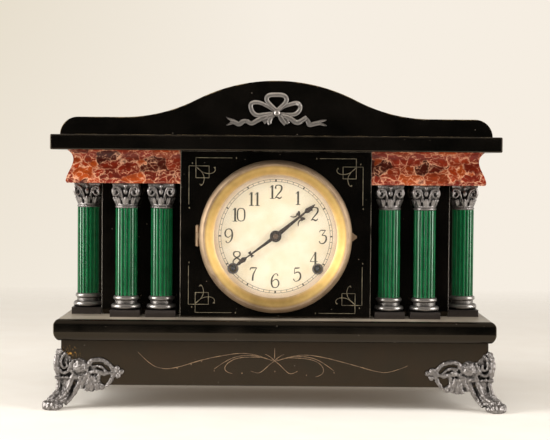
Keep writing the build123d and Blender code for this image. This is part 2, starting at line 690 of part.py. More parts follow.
def bezel_ring():
    """A spun ring: rolled outer edge, inner slope, rabbet for the glass, hinge lug and pull tab."""
    back = SIDE_CLEARANCE
    edge = back + BEZEL_EDGE
    lip_back = GLASS_STANDOFF + GLASS_THICKNESS
    rabbet = GLASS_RADIUS + SEAT_CLEARANCE
    inner_edge = BEZEL_RADIUS - BEZEL_SHEET
    roll = ((BEZEL_RADIUS + BEZEL_CREST) / 2 + 1.3, (edge + BEZEL_DEPTH) / 2 + 1.2)
    section = make_face(
        [
            Line((BEZEL_RADIUS, back), (BEZEL_RADIUS, edge)),
            ThreePointArc((BEZEL_RADIUS, edge), roll, (BEZEL_CREST, BEZEL_DEPTH)),
            Line((BEZEL_CREST, BEZEL_DEPTH), (BEZEL_OPENING, lip_back + 1.2)),
            Line((BEZEL_OPENING, lip_back + 1.2), (BEZEL_OPENING, lip_back)),
            Line((BEZEL_OPENING, lip_back), (rabbet, lip_back)),
            Line((rabbet, lip_back), (rabbet, GLASS_STANDOFF)),
            Line((rabbet, GLASS_STANDOFF), (rabbet + 1.0, GLASS_STANDOFF)),
            Line((rabbet + 1.0, GLASS_STANDOFF), (BEZEL_CREST, BEZEL_DEPTH - BEZEL_SHEET)),
            Line((BEZEL_CREST, BEZEL_DEPTH - BEZEL_SHEET), (inner_edge, edge)),
            Line((inner_edge, edge), (inner_edge, back)),
            Line((inner_edge, back), (BEZEL_RADIUS, back)),
        ]
    )
    ring_plane = Plane((0, PANEL_FRONT, DIAL_Z), x_dir=(1, 0, 0), z_dir=(0, 0, 1))
    axis = Axis((0, PANEL_FRONT, DIAL_Z), (0, 1, 0))
    ring = revolve(ring_plane * mirror(section, about=Plane.XZ), axis)
    knuckle_half = BEZEL_KNUCKLE - SIDE_CLEARANCE / 2
    low, high = DIAL_Z - knuckle_half, DIAL_Z + knuckle_half
    lug = block(
        BEZEL_HINGE_X, -BEZEL_RADIUS + BEZEL_SHEET / 2,
        BEZEL_HINGE_Y - KNUCKLE_RADIUS, BEZEL_HINGE_Y + KNUCKLE_RADIUS * 0.4, low, high,
    )
    bore = upright(BEZEL_HINGE_X, BEZEL_HINGE_Y, TURNING_BORE, low, high)
    ring += lug + upright(BEZEL_HINGE_X, BEZEL_HINGE_Y, KNUCKLE_RADIUS, low, high)
    ring -= bore
    tab_root = BEZEL_RADIUS - BEZEL_SHEET / 2
    tab_tip = BEZEL_RADIUS + PULL_TAB_REACH
    tab = Polygon(
        (tab_root, -PULL_TAB_HEIGHT / 2),
        (tab_tip, -PULL_TAB_HEIGHT * 0.08),
        (tab_tip, PULL_TAB_HEIGHT * 0.08),
        (tab_root, PULL_TAB_HEIGHT / 2),
        align=None,
    )
    return ring + sheet(tab, PANEL_FRONT - back - BEZEL_SHEET, PANEL_FRONT - back)


def bezel_glass():
    return disc((0, 0), GLASS_RADIUS, GLASS_BACK - GLASS_THICKNESS, GLASS_BACK)


def bezel_hinge_leaf():
    """The fixed leaf on the panel, with a knuckle above and below the lug of the ring."""
    half = BEZEL_HINGE_HEIGHT / 2
    knuckle = BEZEL_KNUCKLE + SIDE_CLEARANCE / 2
    leaf = block(
        BEZEL_HINGE_X - BEZEL_LEAF_WIDTH, BEZEL_HINGE_X,
        PANEL_FRONT - LEAF_THICKNESS, PANEL_FRONT, DIAL_Z - half, DIAL_Z + half,
    )
    leaf -= block(
        BEZEL_HINGE_X - KNUCKLE_RADIUS - SIDE_CLEARANCE, BEZEL_HINGE_X,
        PANEL_FRONT - LEAF_THICKNESS, PANEL_FRONT, DIAL_Z - knuckle, DIAL_Z + knuckle,
    )
    for low, high in ((-half, -knuckle), (knuckle, half)):
        leaf += upright(BEZEL_HINGE_X, BEZEL_HINGE_Y, KNUCKLE_RADIUS, DIAL_Z + low, DIAL_Z + high)
    return leaf - upright(BEZEL_HINGE_X, BEZEL_HINGE_Y, FIXED_BORE, DIAL_Z - half, DIAL_Z + half)


def bezel_hinge_pin():
    half = BEZEL_HINGE_HEIGHT / 2 + KNUCKLE_RADIUS / 2
    pin = upright(BEZEL_HINGE_X, BEZEL_HINGE_Y, HINGE_PIN_RADIUS, DIAL_Z - half, DIAL_Z + half)
    head_foot = DIAL_Z + BEZEL_HINGE_HEIGHT / 2
    return pin + upright(BEZEL_HINGE_X, BEZEL_HINGE_Y, KNUCKLE_RADIUS * 0.8, head_foot, DIAL_Z + half)


def dial():
    """A tin disc with holes for the hands and for the two winding squares."""
    face = Circle(DIAL_RADIUS) - Circle(DIAL_CENTRE_HOLE)
    for spot in (TIME_MAIN, STRIKE_MAIN):
        face -= Pos(spot) * Circle(WINDING_HOLE)
    return sheet(face, DIAL_FRONT, DIAL_BACK)


def dial_grommets():
    """A flanged brass lining for each winding hole."""
    barrel = WINDING_HOLE - SHAFT_CLEARANCE
    bore = barrel - GROMMET_THICKNESS
    linings = []
    for spot in (TIME_MAIN, STRIKE_MAIN):
        lining = disc(spot, WINDING_HOLE + GROMMET_FLANGE, DIAL_FRONT - GROMMET_THICKNESS, DIAL_FRONT)
        lining += disc(spot, barrel, DIAL_FRONT, DIAL_BACK)
        linings.append(lining - disc(spot, bore, DIAL_FRONT - GROMMET_THICKNESS, DIAL_BACK))
    return Compound(linings)


def hand_outline(length, boss, bore, stem, cross_at, cross_reach):
    """A tapering stem with a curled cross, a diamond and a fine tip, pointing up."""
    diamond_low = cross_at + 0.11 * length
    diamond_high = diamond_low + 0.15 * length
    diamond_half = 0.055 * length
    tip = HAND_TIP_WIDTH / 2
    arm = HAND_CROSS_HEIGHT / 2
    waist = HAND_CROSS_WAIST / 2
    outline = Circle(boss)
    neck = stem * 0.35
    outline += Polygon((-stem, 0), (stem, 0), (neck, diamond_low), (-neck, diamond_low), align=None)
    outline += Polygon(
        (0, diamond_low - 1.0),
        (diamond_half, (diamond_low + diamond_high) / 2),
        (tip, length),
        (-tip, length),
        (-diamond_half, (diamond_low + diamond_high) / 2),
        align=None,
    )
    outline += Pos(0, cross_at) * Polygon(
        (-cross_reach, -arm),
        (0, -waist),
        (cross_reach, -arm),
        (cross_reach, arm),
        (0, waist),
        (-cross_reach, arm),
        align=None,
    )
    return outline - Circle(bore)


HOUR_HAND_BACK = DIAL_FRONT - HAND_STANDOFF
HOUR_HAND_FRONT = HOUR_HAND_BACK - HAND_THICKNESS
MINUTE_HAND_BACK = HOUR_HAND_FRONT - HAND_STEP
MINUTE_HAND_FRONT = MINUTE_HAND_BACK - HAND_THICKNESS
PIPE_BORE = ARBOR_RADIUS + 2 * SHAFT_CLEARANCE
PIPE_RADIUS = PIPE_BORE + PIPE_WALL


def hour_hand():
    bore = PIPE_RADIUS + SHAFT_CLEARANCE
    outline = hand_outline(
        HOUR_HAND_LENGTH, HOUR_HAND_BOSS, bore, HOUR_HAND_STEM, HOUR_HAND_CROSS, HOUR_HAND_ARM
    )
    return sheet(Rot(0, 0, -HOUR_HAND_ANGLE) * outline, HOUR_HAND_FRONT, HOUR_HAND_BACK)


def minute_hand():
    bore = ARBOR_RADIUS + SHAFT_CLEARANCE
    outline = hand_outline(
        MINUTE_HAND_LENGTH, MINUTE_HAND_BOSS, bore, MINUTE_HAND_STEM, MINUTE_HAND_CROSS, MINUTE_HAND_ARM
    )
    return sheet(Rot(0, 0, -MINUTE_HAND_ANGLE) * outline, MINUTE_HAND_FRONT, MINUTE_HAND_BACK)


def hand_nut():
    nut = disc((0, 0), HAND_NUT_RADIUS, MINUTE_HAND_FRONT - HAND_NUT_HEIGHT, MINUTE_HAND_FRONT)
    return fillet(nut.edges().sort_by(Axis.Y)[0], HAND_NUT_HEIGHT * 0.7)


# Back door

DOOR_RADIUS = BACK_HOLE_RADIUS + DOOR_LAP
DOOR_FRONT = CASE_BACK + SIDE_CLEARANCE
DOOR_HINGE_X = DOOR_RADIUS + SIDE_CLEARANCE + KNUCKLE_RADIUS
DOOR_HINGE_Y = CASE_BACK + KNUCKLE_RADIUS + KNUCKLE_STANDOFF
DOOR_KNUCKLE = DOOR_HINGE_HEIGHT / 6


def back_door():
    """A round tin door with a rolled lug on its hinge side and a small pull."""
    at = (0, BACK_HOLE_Z - DIAL_Z)
    back = DOOR_FRONT + DOOR_THICKNESS
    door = disc(at, DOOR_RADIUS, DOOR_FRONT, back)
    half = DOOR_KNUCKLE - SIDE_CLEARANCE / 2
    low, high = BACK_HOLE_Z - half, BACK_HOLE_Z + half
    door += block(DOOR_RADIUS - DOOR_LAP, DOOR_HINGE_X, DOOR_FRONT, back, low, high)
    door += upright(DOOR_HINGE_X, DOOR_HINGE_Y, KNUCKLE_RADIUS, low, high)
    pull_at = (DOOR_LAP * 2 - DOOR_RADIUS, BACK_HOLE_Z - DIAL_Z)
    door += disc(pull_at, DOOR_LAP * 0.8, back, back + DOOR_LAP * 1.5)
    return door - upright(DOOR_HINGE_X, DOOR_HINGE_Y, TURNING_BORE, low, high)


def back_door_hinge_leaf():
    half = DOOR_HINGE_HEIGHT / 2
    knuckle = DOOR_KNUCKLE + SIDE_CLEARANCE / 2
    low, high = BACK_HOLE_Z - half, BACK_HOLE_Z + half
    leaf_end = DOOR_HINGE_X + DOOR_LEAF_WIDTH
    leaf = block(DOOR_HINGE_X, leaf_end, CASE_BACK, CASE_BACK + LEAF_THICKNESS, low, high)
    leaf -= block(
        DOOR_HINGE_X, DOOR_HINGE_X + KNUCKLE_RADIUS + SIDE_CLEARANCE,
        CASE_BACK, CASE_BACK + LEAF_THICKNESS, BACK_HOLE_Z - knuckle, BACK_HOLE_Z + knuckle,
    )
    for start, end in ((-half, -knuckle), (knuckle, half)):
        leaf += upright(DOOR_HINGE_X, DOOR_HINGE_Y, KNUCKLE_RADIUS, BACK_HOLE_Z + start, BACK_HOLE_Z + end)
    return leaf - upright(DOOR_HINGE_X, DOOR_HINGE_Y, FIXED_BORE, low, high)


def back_door_hinge_pin():
    half = DOOR_HINGE_HEIGHT / 2
    end = half + KNUCKLE_RADIUS / 2
    pin = upright(DOOR_HINGE_X, DOOR_HINGE_Y, HINGE_PIN_RADIUS, BACK_HOLE_Z - end, BACK_HOLE_Z + end)
    head_foot = BACK_HOLE_Z + half
    return pin + upright(DOOR_HINGE_X, DOOR_HINGE_Y, KNUCKLE_RADIUS * 0.8, head_foot, BACK_HOLE_Z + end)


# Wheel trains


class Mesh:
    """A toothed wheel driving a lantern pinion, with the distance between their arbors."""

    def __init__(self, teeth, leaves, module):
        self.teeth = teeth
        self.leaves = leaves
        self.module = module
        self.wheel_radius = teeth * module / 2
        self.pinion_radius = leaves * module / 2
        self.distance = self.wheel_radius + self.pinion_radius
        self.tip_radius = self.wheel_radius + module
        self.root_radius = self.wheel_radius - 0.9 * module
        self.core_limit = self.pinion_radius - module - MESH_GAP / 2


MAIN_MESH = Mesh(*MAIN_GEARS)
SECOND_MESH = Mesh(*SECOND_GEARS)
CENTRE_MESH = Mesh(*CENTRE_GEARS)
FOURTH_MESH = Mesh(*FOURTH_GEARS)
STRIKE_SECOND_MESH = Mesh(*STRIKE_SECOND_GEARS)
PIN_MESH = Mesh(*PIN_GEARS)
WARNING_MESH = Mesh(*WARNING_GEARS)
CANNON_MESH = Mesh(*CANNON_GEARS)
HOUR_MESH = Mesh(HOUR_TEETH, HOUR_LEAVES, 2 * CANNON_MESH.distance / (HOUR_TEETH + HOUR_LEAVES))
HAMMER_PIN_CIRCLE = PIN_MESH.root_radius - 2 * PIN_MESH.module

CENTRE = Vector(0, 0)
SECOND = polar(SECOND_MESH.distance, SECOND_BEARING)
TIME_MAIN = SECOND + polar(MAIN_MESH.distance, MAIN_BEARING)
FOURTH = polar(CENTRE_MESH.distance, FOURTH_BEARING)
ESCAPE = Vector(0, FOURTH.Y + sqrt(FOURTH_MESH.distance**2 - FOURTH.X**2))
VERGE = ESCAPE + Vector(0, VERGE_RISE)
STRIKE_MAIN = Vector(-TIME_MAIN.X, TIME_MAIN.Y)
STRIKE_SECOND = STRIKE_MAIN + polar(MAIN_MESH.distance, STRIKE_SECOND_BEARING)
PIN = STRIKE_SECOND + polar(STRIKE_SECOND_MESH.distance, PIN_BEARING)
WARNING = PIN + polar(PIN_MESH.distance, WARNING_BEARING)
FLY = WARNING + polar(WARNING_MESH.distance, FLY_BEARING)
HAMMER = Vector(HAMMER_ACROSS, HAMMER_RISE)
MINUTE_WHEEL = polar(CANNON_MESH.distance, MINUTE_WHEEL_BEARING)
PILLARS = [
    Vector(side * (PLATE_HALF_WIDTH - PILLAR_INSET), height)
    for side in (1, -1)
    for height in (PLATE_BOTTOM + PILLAR_INSET, PLATE_TOP - PILLAR_INSET)
]


def toothed_disc(mesh, gap_bearing):
    """A wheel blank with thin teeth, turned so that a gap faces the pinion."""
    tip_half = 0.25 * mesh.module / mesh.tip_radius
    root_half = 0.80 * mesh.module / mesh.root_radius
    points = []
    for tooth in range(mesh.teeth):
        middle = radians(gap_bearing) + (tooth + 0.5) * 2 * pi / mesh.teeth
        for radius, step in (
            (mesh.root_radius, -root_half),
            (mesh.tip_radius, -tip_half),
            (mesh.tip_radius, tip_half),
            (mesh.root_radius, root_half),
        ):
            points.append((radius * cos(middle + step), radius * sin(middle + step)))
    return Polygon(*points, align=None)


def crossings(outer, hub, spokes, width):
    """The openings between the spokes of a wheel."""
    ring = Circle(outer) - Circle(hub)
    for spoke in range(spokes):
        ring -= Rot(0, 0, spoke * 360 / spokes) * Pos(outer / 2, 0) * Rectangle(outer, width)
    return ring


def wheel(mesh, at, pinion_at, front, thickness, hub, bore=0.0):
    """A crossed-out wheel in place, in mesh with the pinion at another arbor."""
    outline = toothed_disc(mesh, bearing_between(at, pinion_at))
    outline -= crossings(mesh.root_radius - 2.5 * mesh.module, hub, 4, 3 * mesh.module)
    if bore:
        outline -= Circle(bore)
    return sheet(Pos(at) * outline, front, front + thickness)


def lantern(mesh, at, wheel_at, front, thickness):
    """Round trundles between two shrouds, one trundle facing the wheel that drives them."""
    trundle = 0.42 * mesh.module
    shroud = Circle(mesh.pinion_radius + 2 * trundle)
    start = front - MESH_GAP - SHROUD_THICKNESS
    end = front + thickness + MESH_GAP + SHROUD_THICKNESS
    facing = bearing_between(at, wheel_at)
    pins = Sketch()
    for leaf in range(mesh.leaves):
        pins += Pos(polar(mesh.pinion_radius, facing + leaf * 360 / mesh.leaves)) * Circle(trundle)
    cage = sheet(Pos(at) * pins, start, end)
    cage += sheet(Pos(at) * shroud, start, start + SHROUD_THICKNESS)
    return cage + sheet(Pos(at) * shroud, end - SHROUD_THICKNESS, end)


def arbor(at, radius):
    """A steel arbor between the plates, with a pivot in each."""
    shoulders = disc(at, radius, INNER_FRONT + END_SHAKE, INNER_BACK - END_SHAKE)
    return shoulders + disc(at, PIVOT_RADIUS, PLATE_FRONT, PLATE_REAR)


def layer(depth):
    """The Y of a depth behind the inner face of the front plate."""
    return INNER_FRONT + depth


def train_wheel(at, driver_mesh, driver_at, driver_layer, driver_thickness, mesh, driven_at, wheel_layer):
    """An arbor with the pinion that is driven and the wheel that drives the next one."""
    radius = min(ARBOR_RADIUS, driver_mesh.core_limit)
    piece = arbor(at, radius)
    piece += lantern(driver_mesh, at, driver_at, layer(driver_layer), driver_thickness)
    return piece + wheel(mesh, at, driven_at, layer(wheel_layer), WHEEL_THICKNESS, 3 * ARBOR_RADIUS)


def main_wheel(at, second_at):
    """A main wheel that turns on its winding arbor, with a click and a click spring post on its face."""
    front = layer(MAIN_LAYER)
    bore = WINDING_RADIUS + SHAFT_CLEARANCE
    piece = wheel(MAIN_MESH, at, second_at, front, MAIN_THICKNESS, RATCHET_RADIUS + CLICK_WIDTH * 2.4, bore)
    click_front = layer(RATCHET_LAYER) + SIDE_CLEARANCE
    click_at = polar(RATCHET_RADIUS + SIDE_CLEARANCE * 2 + CLICK_WIDTH / 2, CLICK_BEARING)
    click = RectangleRounded(CLICK_WIDTH, 3 * CLICK_WIDTH, CLICK_WIDTH / 3)
    return piece + sheet(Pos(at + click_at) * Rot(0, 0, CLICK_BEARING) * click, click_front, front)


def winding_arbor(at):
    """A winding arbor with its square at the front and a ratchet against the main wheel."""
    reach = DIAL_BACK + WINDING_SETBACK
    piece = disc(at, WINDING_RADIUS, INNER_FRONT + END_SHAKE, INNER_BACK - END_SHAKE)
    piece += disc(at, WINDING_PIVOT, PLATE_FRONT - 1.0, PLATE_REAR)
    piece += sheet(Pos(at) * Rectangle(WINDING_SQUARE, WINDING_SQUARE), reach, PLATE_FRONT)
    points = []
    for tooth in range(RATCHET_TEETH):
        start = tooth * 360 / RATCHET_TEETH
        points.append(polar(RATCHET_RADIUS * 0.82, start))
        points.append(polar(RATCHET_RADIUS, start + 360 / RATCHET_TEETH * 0.95))
    ratchet = Pos(at) * Polygon(*[(point.X, point.Y) for point in points], align=None)
    front = layer(RATCHET_LAYER)
    return piece + sheet(ratchet, front, front + RATCHET_THICKNESS)


def spiral_arcs(start_radius, pitch, half_turns, side):
    """Half circles that wind outwards, moved sideways by half the thickness of a strip."""
    arcs = []
    for half in range(half_turns):
        centre = -pitch / 4 if half % 2 == 0 else pitch / 4
        radius = start_radius + half * pitch / 2 + side
        arcs.append(CenterArc((centre, 0), radius, 180 * (half % 2), 180))
    return arcs


def mainspring(at, pillar):
    """A flat strip wound from the arbor out to a frame pillar."""
    inner = WINDING_RADIUS + SPRING_ANCHOR_GAP + SPRING_STRIP
    last = (pillar - at).length - PILLAR_RADIUS - SPRING_ANCHOR_GAP - SPRING_STRIP
    pitch = (last - inner) / (SPRING_TURNS + 0.25)
    half_turns = 2 * SPRING_TURNS
    outer_edge = spiral_arcs(inner + pitch / 2, pitch, half_turns, SPRING_STRIP / 2)
    inner_edge = spiral_arcs(inner + pitch / 2, pitch, half_turns, -SPRING_STRIP / 2)
    ends = [
        Line(outer_edge[0] @ 0, inner_edge[0] @ 0),
        Line(outer_edge[-1] @ 1, inner_edge[-1] @ 1),
    ]
    strip = make_face(outer_edge + inner_edge + ends)
    turned = Pos(at) * Rot(0, 0, bearing_between(at, pillar)) * strip
    return sheet(turned, layer(SPRING_LAYER), layer(SPRING_LAYER) + SPRING_WIDTH)


def time_centre_wheel():
    """The centre wheel and its pinion on a sleeve that grips the minute arbor like a slipping clutch."""
    bore = ARBOR_RADIUS + SHAFT_CLEARANCE
    sleeve = ARBOR_RADIUS + 1.0
    piece = disc(CENTRE, sleeve, layer(CENTRE_LAYER) - 2, layer(SECOND_LAYER) + 4)
    piece += lantern(SECOND_MESH, CENTRE, SECOND, layer(SECOND_LAYER), WHEEL_THICKNESS)
    piece += wheel(CENTRE_MESH, CENTRE, FOURTH, layer(CENTRE_LAYER), WHEEL_THICKNESS, 3 * ARBOR_RADIUS)
    return piece - disc(CENTRE, bore, INNER_FRONT, INNER_BACK)


def escape_wheel():
    """The escape wheel: raked teeth on a crossed rim."""
    radius = min(ARBOR_RADIUS, FOURTH_MESH.core_limit)
    piece = arbor(ESCAPE, radius) + lantern(FOURTH_MESH, ESCAPE, FOURTH, layer(FOURTH_LAYER), WHEEL_THICKNESS)
    points = []
    for tooth in range(ESCAPE_TEETH):
        start = tooth * 360 / ESCAPE_TEETH
        points.append(polar(ESCAPE_RADIUS * 0.86, start))
        points.append(polar(ESCAPE_RADIUS, start + 360 / ESCAPE_TEETH * 0.9))
    outline = Polygon(*[(point.X, point.Y) for point in points], align=None)
    outline -= crossings(ESCAPE_RADIUS * 0.74, 2 * ARBOR_RADIUS, 4, ARBOR_RADIUS)
    front = layer(ESCAPE_LAYER)
    return piece + sheet(Pos(ESCAPE) * outline, front, front + WHEEL_THICKNESS)


def verge():
    """The anchor over the escape wheel, its arbor, and the crutch that meets the pendulum."""
    front = layer(ESCAPE_LAYER)
    drop = VERGE_RISE * 0.45
    anchor = Polygon(
        (0, 2.0), (ANCHOR_HALF_SPAN, -drop), (ANCHOR_HALF_SPAN - 1.0, -drop - 2.4), (0, -2.0),
        (1.0 - ANCHOR_HALF_SPAN, -drop - 2.4), (-ANCHOR_HALF_SPAN, -drop), align=None,
    )
    reach = ESCAPE_RADIUS + PALLET_CLEARANCE
    anchor = Pos(VERGE) * anchor - Pos(ESCAPE) * Circle(reach)
    crutch_y = PLATE_REAR + CRUTCH_SETBACK
    piece = sheet(anchor, front, front + WHEEL_THICKNESS)
    piece += disc(VERGE, ARBOR_RADIUS, INNER_FRONT + END_SHAKE, INNER_BACK - END_SHAKE)
    piece += disc(VERGE, PIVOT_RADIUS, PLATE_FRONT, crutch_y + CRUTCH_RADIUS)
    piece += disc(VERGE, ARBOR_RADIUS, crutch_y - CRUTCH_RADIUS, crutch_y + CRUTCH_RADIUS)
    foot_z = DIAL_Z + VERGE.Y - CRUTCH_LENGTH
    piece += upright(0, crutch_y, CRUTCH_RADIUS, foot_z, DIAL_Z + VERGE.Y)
    prong = PENDULUM_WIRE + SIDE_CLEARANCE / 2 + CRUTCH_RADIUS
    fork_z = VERGE.Y - CRUTCH_LENGTH
    for side in (1, -1):
        piece += disc((side * prong, fork_z), CRUTCH_RADIUS, crutch_y, PENDULUM_Y + 2 * PENDULUM_WIRE)
    bar = Pos(0, fork_z) * Rectangle(2 * prong, 2 * CRUTCH_RADIUS)
    return piece + sheet(bar, crutch_y - CRUTCH_RADIUS, crutch_y + CRUTCH_RADIUS)


def suspension_cock():
    """A bracket on the back plate whose split jaw holds the pendulum's spring."""
    foot_low = VERGE.Y + COCK_LIFT
    foot_high = PLATE_TOP - SIDE_CLEARANCE
    jaw_front = PENDULUM_Y - SUSPENSION_WIDTH / 2 - COCK_LIP
    jaw_back = PENDULUM_Y + SUSPENSION_WIDTH / 2 + COCK_LIP
    half = COCK_HALF_WIDTH
    arm = block(-half, half, PLATE_REAR, jaw_back, DIAL_Z + foot_low, DIAL_Z + foot_high)
    jaw_low = DIAL_Z + VERGE.Y + SIDE_CLEARANCE
    return arm + block(-half, half, jaw_front, jaw_back, jaw_low, DIAL_Z + foot_high)


def pendulum_rod():
    """A flat suspension spring, a wire rod and a rating nut under the bob."""
    top = DIAL_Z + VERGE.Y
    bob_z = top - PENDULUM_LENGTH
    half_sheet = SUSPENSION_SHEET / 2
    half_width = SUSPENSION_WIDTH / 2
    spring_foot = top - SUSPENSION_LENGTH
    spring = block(
        -half_sheet, half_sheet, PENDULUM_Y - half_width, PENDULUM_Y + half_width, spring_foot, top
    )
    nut_top = bob_z - BOB_RADIUS - SHAFT_CLEARANCE
    nut_foot = nut_top - RATING_NUT_HEIGHT
    wire = upright(0, PENDULUM_Y, PENDULUM_WIRE, nut_foot - 2, spring_foot + 1.5)
    return spring + wire + upright(0, PENDULUM_Y, RATING_NUT_RADIUS, nut_foot, nut_top)


def pendulum_bob():
    """A lens-shaped bob that slides on the wire."""
    bob_z = DIAL_Z + VERGE.Y - PENDULUM_LENGTH
    half = BOB_THICKNESS / 2
    edge = BOB_EDGE / 2
    crown = half - edge
    dome = (BOB_RADIUS**2 + crown**2) / (2 * crown)
    dome_block = Rot(90, 0, 0) * Cylinder(BOB_RADIUS, BOB_THICKNESS)
    lens = dome_block & Pos(0, dome - half, 0) * Sphere(dome) & Pos(0, half - dome, 0) * Sphere(dome)
    bore = upright(0, PENDULUM_Y, PENDULUM_WIRE + SHAFT_CLEARANCE, bob_z - BOB_RADIUS, bob_z + BOB_RADIUS)
    return Pos(0, PENDULUM_Y, bob_z) * lens - bore


def strike_pin_wheel():
    """The pin wheel, with pins that would lift the hammer tail."""
    piece = train_wheel(
        PIN, STRIKE_SECOND_MESH, STRIKE_SECOND, SECOND_LAYER, WHEEL_THICKNESS, PIN_MESH, WARNING, PIN_LAYER
    )
    front = layer(PIN_LAYER)
    pins = Sketch() + PolarLocations(HAMMER_PIN_CIRCLE, HAMMER_PIN_COUNT) * Circle(HAMMER_PIN_RADIUS)
    return piece + sheet(Pos(PIN) * pins, front - HAMMER_PIN_LENGTH, front)


def strike_fly():
    """The fly: two blades that brake the strike."""
    radius = min(ARBOR_RADIUS, WARNING_MESH.core_limit)
    piece = arbor(FLY, radius)
    piece += lantern(WARNING_MESH, FLY, WARNING, layer(WARNING_LAYER), WHEEL_THICKNESS)
    blade = Pos(FLY) * Rectangle(FLY_SPAN, FLY_BLADE)
    return piece + sheet(blade, layer(FLY_LAYER), layer(FLY_LAYER) + FLY_LENGTH)


def hammer_target():
    """Where the hammer head stands over the gong, from the dial centre."""
    outer = GONG_INNER_RADIUS + GONG_TURNS * GONG_PITCH
    rise = sqrt(outer**2 - HAMMER_ALONG**2) + GONG_WIRE + HAMMER_GAP + HAMMER_HEAD_RADIUS
    return Vector(GONG_ACROSS + HAMMER_ALONG, LEDGE_Z + GONG_RISE - DIAL_Z + rise)


def strike_hammer():
    """An arbor through both plates with a lifting tail inside and a wire with a head over the gong."""
    arm_front, arm_back = GONG_Y - HAMMER_WIRE, GONG_Y + HAMMER_WIRE
    piece = disc(HAMMER, HAMMER_ARBOR_RADIUS, INNER_FRONT + END_SHAKE, INNER_BACK - END_SHAKE)
    piece += disc(HAMMER, PIVOT_RADIUS * 2, PLATE_FRONT, arm_back)
    target = hammer_target()
    span = target - HAMMER
    arm = Pos((HAMMER + target) * 0.5) * Rot(0, 0, bearing_between(HAMMER, target))
    piece += sheet(arm * Rectangle(span.length, 2 * HAMMER_WIRE), arm_front, arm_back)
    piece += disc(HAMMER, PIVOT_RADIUS * 4, arm_front, arm_back)
    head_half = HAMMER_HEAD_LENGTH / 2
    piece += disc(target, HAMMER_HEAD_RADIUS, GONG_Y - head_half, GONG_Y + head_half)
    pins = HAMMER_PIN_CIRCLE + HAMMER_PIN_RADIUS
    tail_length = (PIN - HAMMER).length - pins - 2 * SIDE_CLEARANCE
    tail = Pos(HAMMER) * Rot(0, 0, bearing_between(HAMMER, PIN)) * Pos(tail_length / 2, 0)
    tail_front = layer(PIN_LAYER) - HAMMER_PIN_LENGTH
    tail_bar = tail * Rectangle(tail_length, HAMMER_TAIL_WIDTH)
    return piece + sheet(tail_bar, tail_front, layer(PIN_LAYER) - MESH_GAP)


def gong_coil():
    """A coil of round wire, one unbroken spiral of half circles."""
    path = Wire(spiral_arcs(GONG_INNER_RADIUS + GONG_PITCH / 2, GONG_PITCH, 2 * GONG_TURNS - 1, 0))
    start = Plane(path @ 0, z_dir=path % 0)
    coil = sweep(start * Circle(GONG_WIRE), path)
    stand = Plane((GONG_ACROSS, GONG_Y, LEDGE_Z + GONG_RISE), x_dir=(1, 0, 0), z_dir=(0, -1, 0))
    return stand * coil


def gong_stand():
    """An iron foot and post behind the coil, with a boss inside the first turn."""
    z = LEDGE_Z + GONG_RISE
    post_y = GONG_Y + GONG_WIRE + SIDE_CLEARANCE + GONG_POST_RADIUS
    foot_top = LEDGE_Z + GONG_FOOT_HEIGHT
    foot_middle = (LEDGE_Z + foot_top) / 2
    stand = Pos(GONG_ACROSS, post_y, foot_middle) * Box(GONG_FOOT_WIDTH, GONG_FOOT_DEPTH, GONG_FOOT_HEIGHT)
    stand += upright(GONG_ACROSS, post_y, GONG_POST_RADIUS, foot_top, z)
    boss_at = (GONG_ACROSS, z - DIAL_Z)
    boss = GONG_INNER_RADIUS + GONG_PITCH / 4 - GONG_WIRE - SIDE_CLEARANCE
    return stand + disc(boss_at, boss, GONG_Y - GONG_WIRE, post_y + 1.25 * GONG_POST_RADIUS)


# Movement frame and motion work


def pivot_holes():
    """The holes that both plates share."""
    fine = PIVOT_RADIUS + SHAFT_CLEARANCE
    holes = Sketch()
    for at in (SECOND, FOURTH, ESCAPE, VERGE, STRIKE_SECOND, PIN, WARNING, FLY):
        holes += Pos(at) * Circle(fine)
    for at in (TIME_MAIN, STRIKE_MAIN):
        holes += Pos(at) * Circle(WINDING_PIVOT + SHAFT_CLEARANCE)
    holes += Pos(HAMMER) * Circle(PIVOT_RADIUS * 2 + SHAFT_CLEARANCE)
    return holes + Pos(CENTRE) * Circle(ARBOR_RADIUS + SHAFT_CLEARANCE)


def plate_outline():
    height = PLATE_TOP - PLATE_BOTTOM
    middle = (PLATE_TOP + PLATE_BOTTOM) / 2
    return Pos(0, middle) * RectangleRounded(2 * PLATE_HALF_WIDTH, height, PLATE_CORNER) - pivot_holes()


def movement_front_plate():
    """The front plate, with the stud that carries the minute wheel."""
    plate = sheet(plate_outline(), PLATE_FRONT, INNER_FRONT)
    return plate + disc(MINUTE_WHEEL, STUD_RADIUS, HOUR_LAYER - STUD_END, PLATE_FRONT)


def movement_back_plate():
    return sheet(plate_outline(), INNER_BACK, PLATE_REAR)


def at_pillars(radius, front, back):
    """One round bar at each pillar."""
    return Compound([disc(at, radius, front, back) for at in PILLARS])


def minute_arbor():
    """The centre arbor, with the cannon pinion in front of the plate."""
    piece = disc(CENTRE, ARBOR_RADIUS, MINUTE_HAND_FRONT, PLATE_REAR)
    return piece + lantern(CANNON_MESH, CENTRE, MINUTE_WHEEL, MOTION_LAYER, WHEEL_THICKNESS)


def minute_wheel():
    """The minute wheel and its pinion on a sleeve over the stud."""
    bore = STUD_RADIUS + SHAFT_CLEARANCE
    sleeve = bore + STUD_SLEEVE
    sleeve_front = HOUR_LAYER - MESH_GAP - SHROUD_THICKNESS
    piece = wheel(CANNON_MESH, MINUTE_WHEEL, CENTRE, MOTION_LAYER, WHEEL_THICKNESS, 2 * sleeve)
    piece += lantern(HOUR_MESH, MINUTE_WHEEL, CENTRE, HOUR_LAYER, WHEEL_THICKNESS)
    piece += disc(MINUTE_WHEEL, sleeve, sleeve_front, PLATE_FRONT - SIDE_CLEARANCE)
    return piece - disc(MINUTE_WHEEL, bore, sleeve_front - STUD_END, PLATE_FRONT)


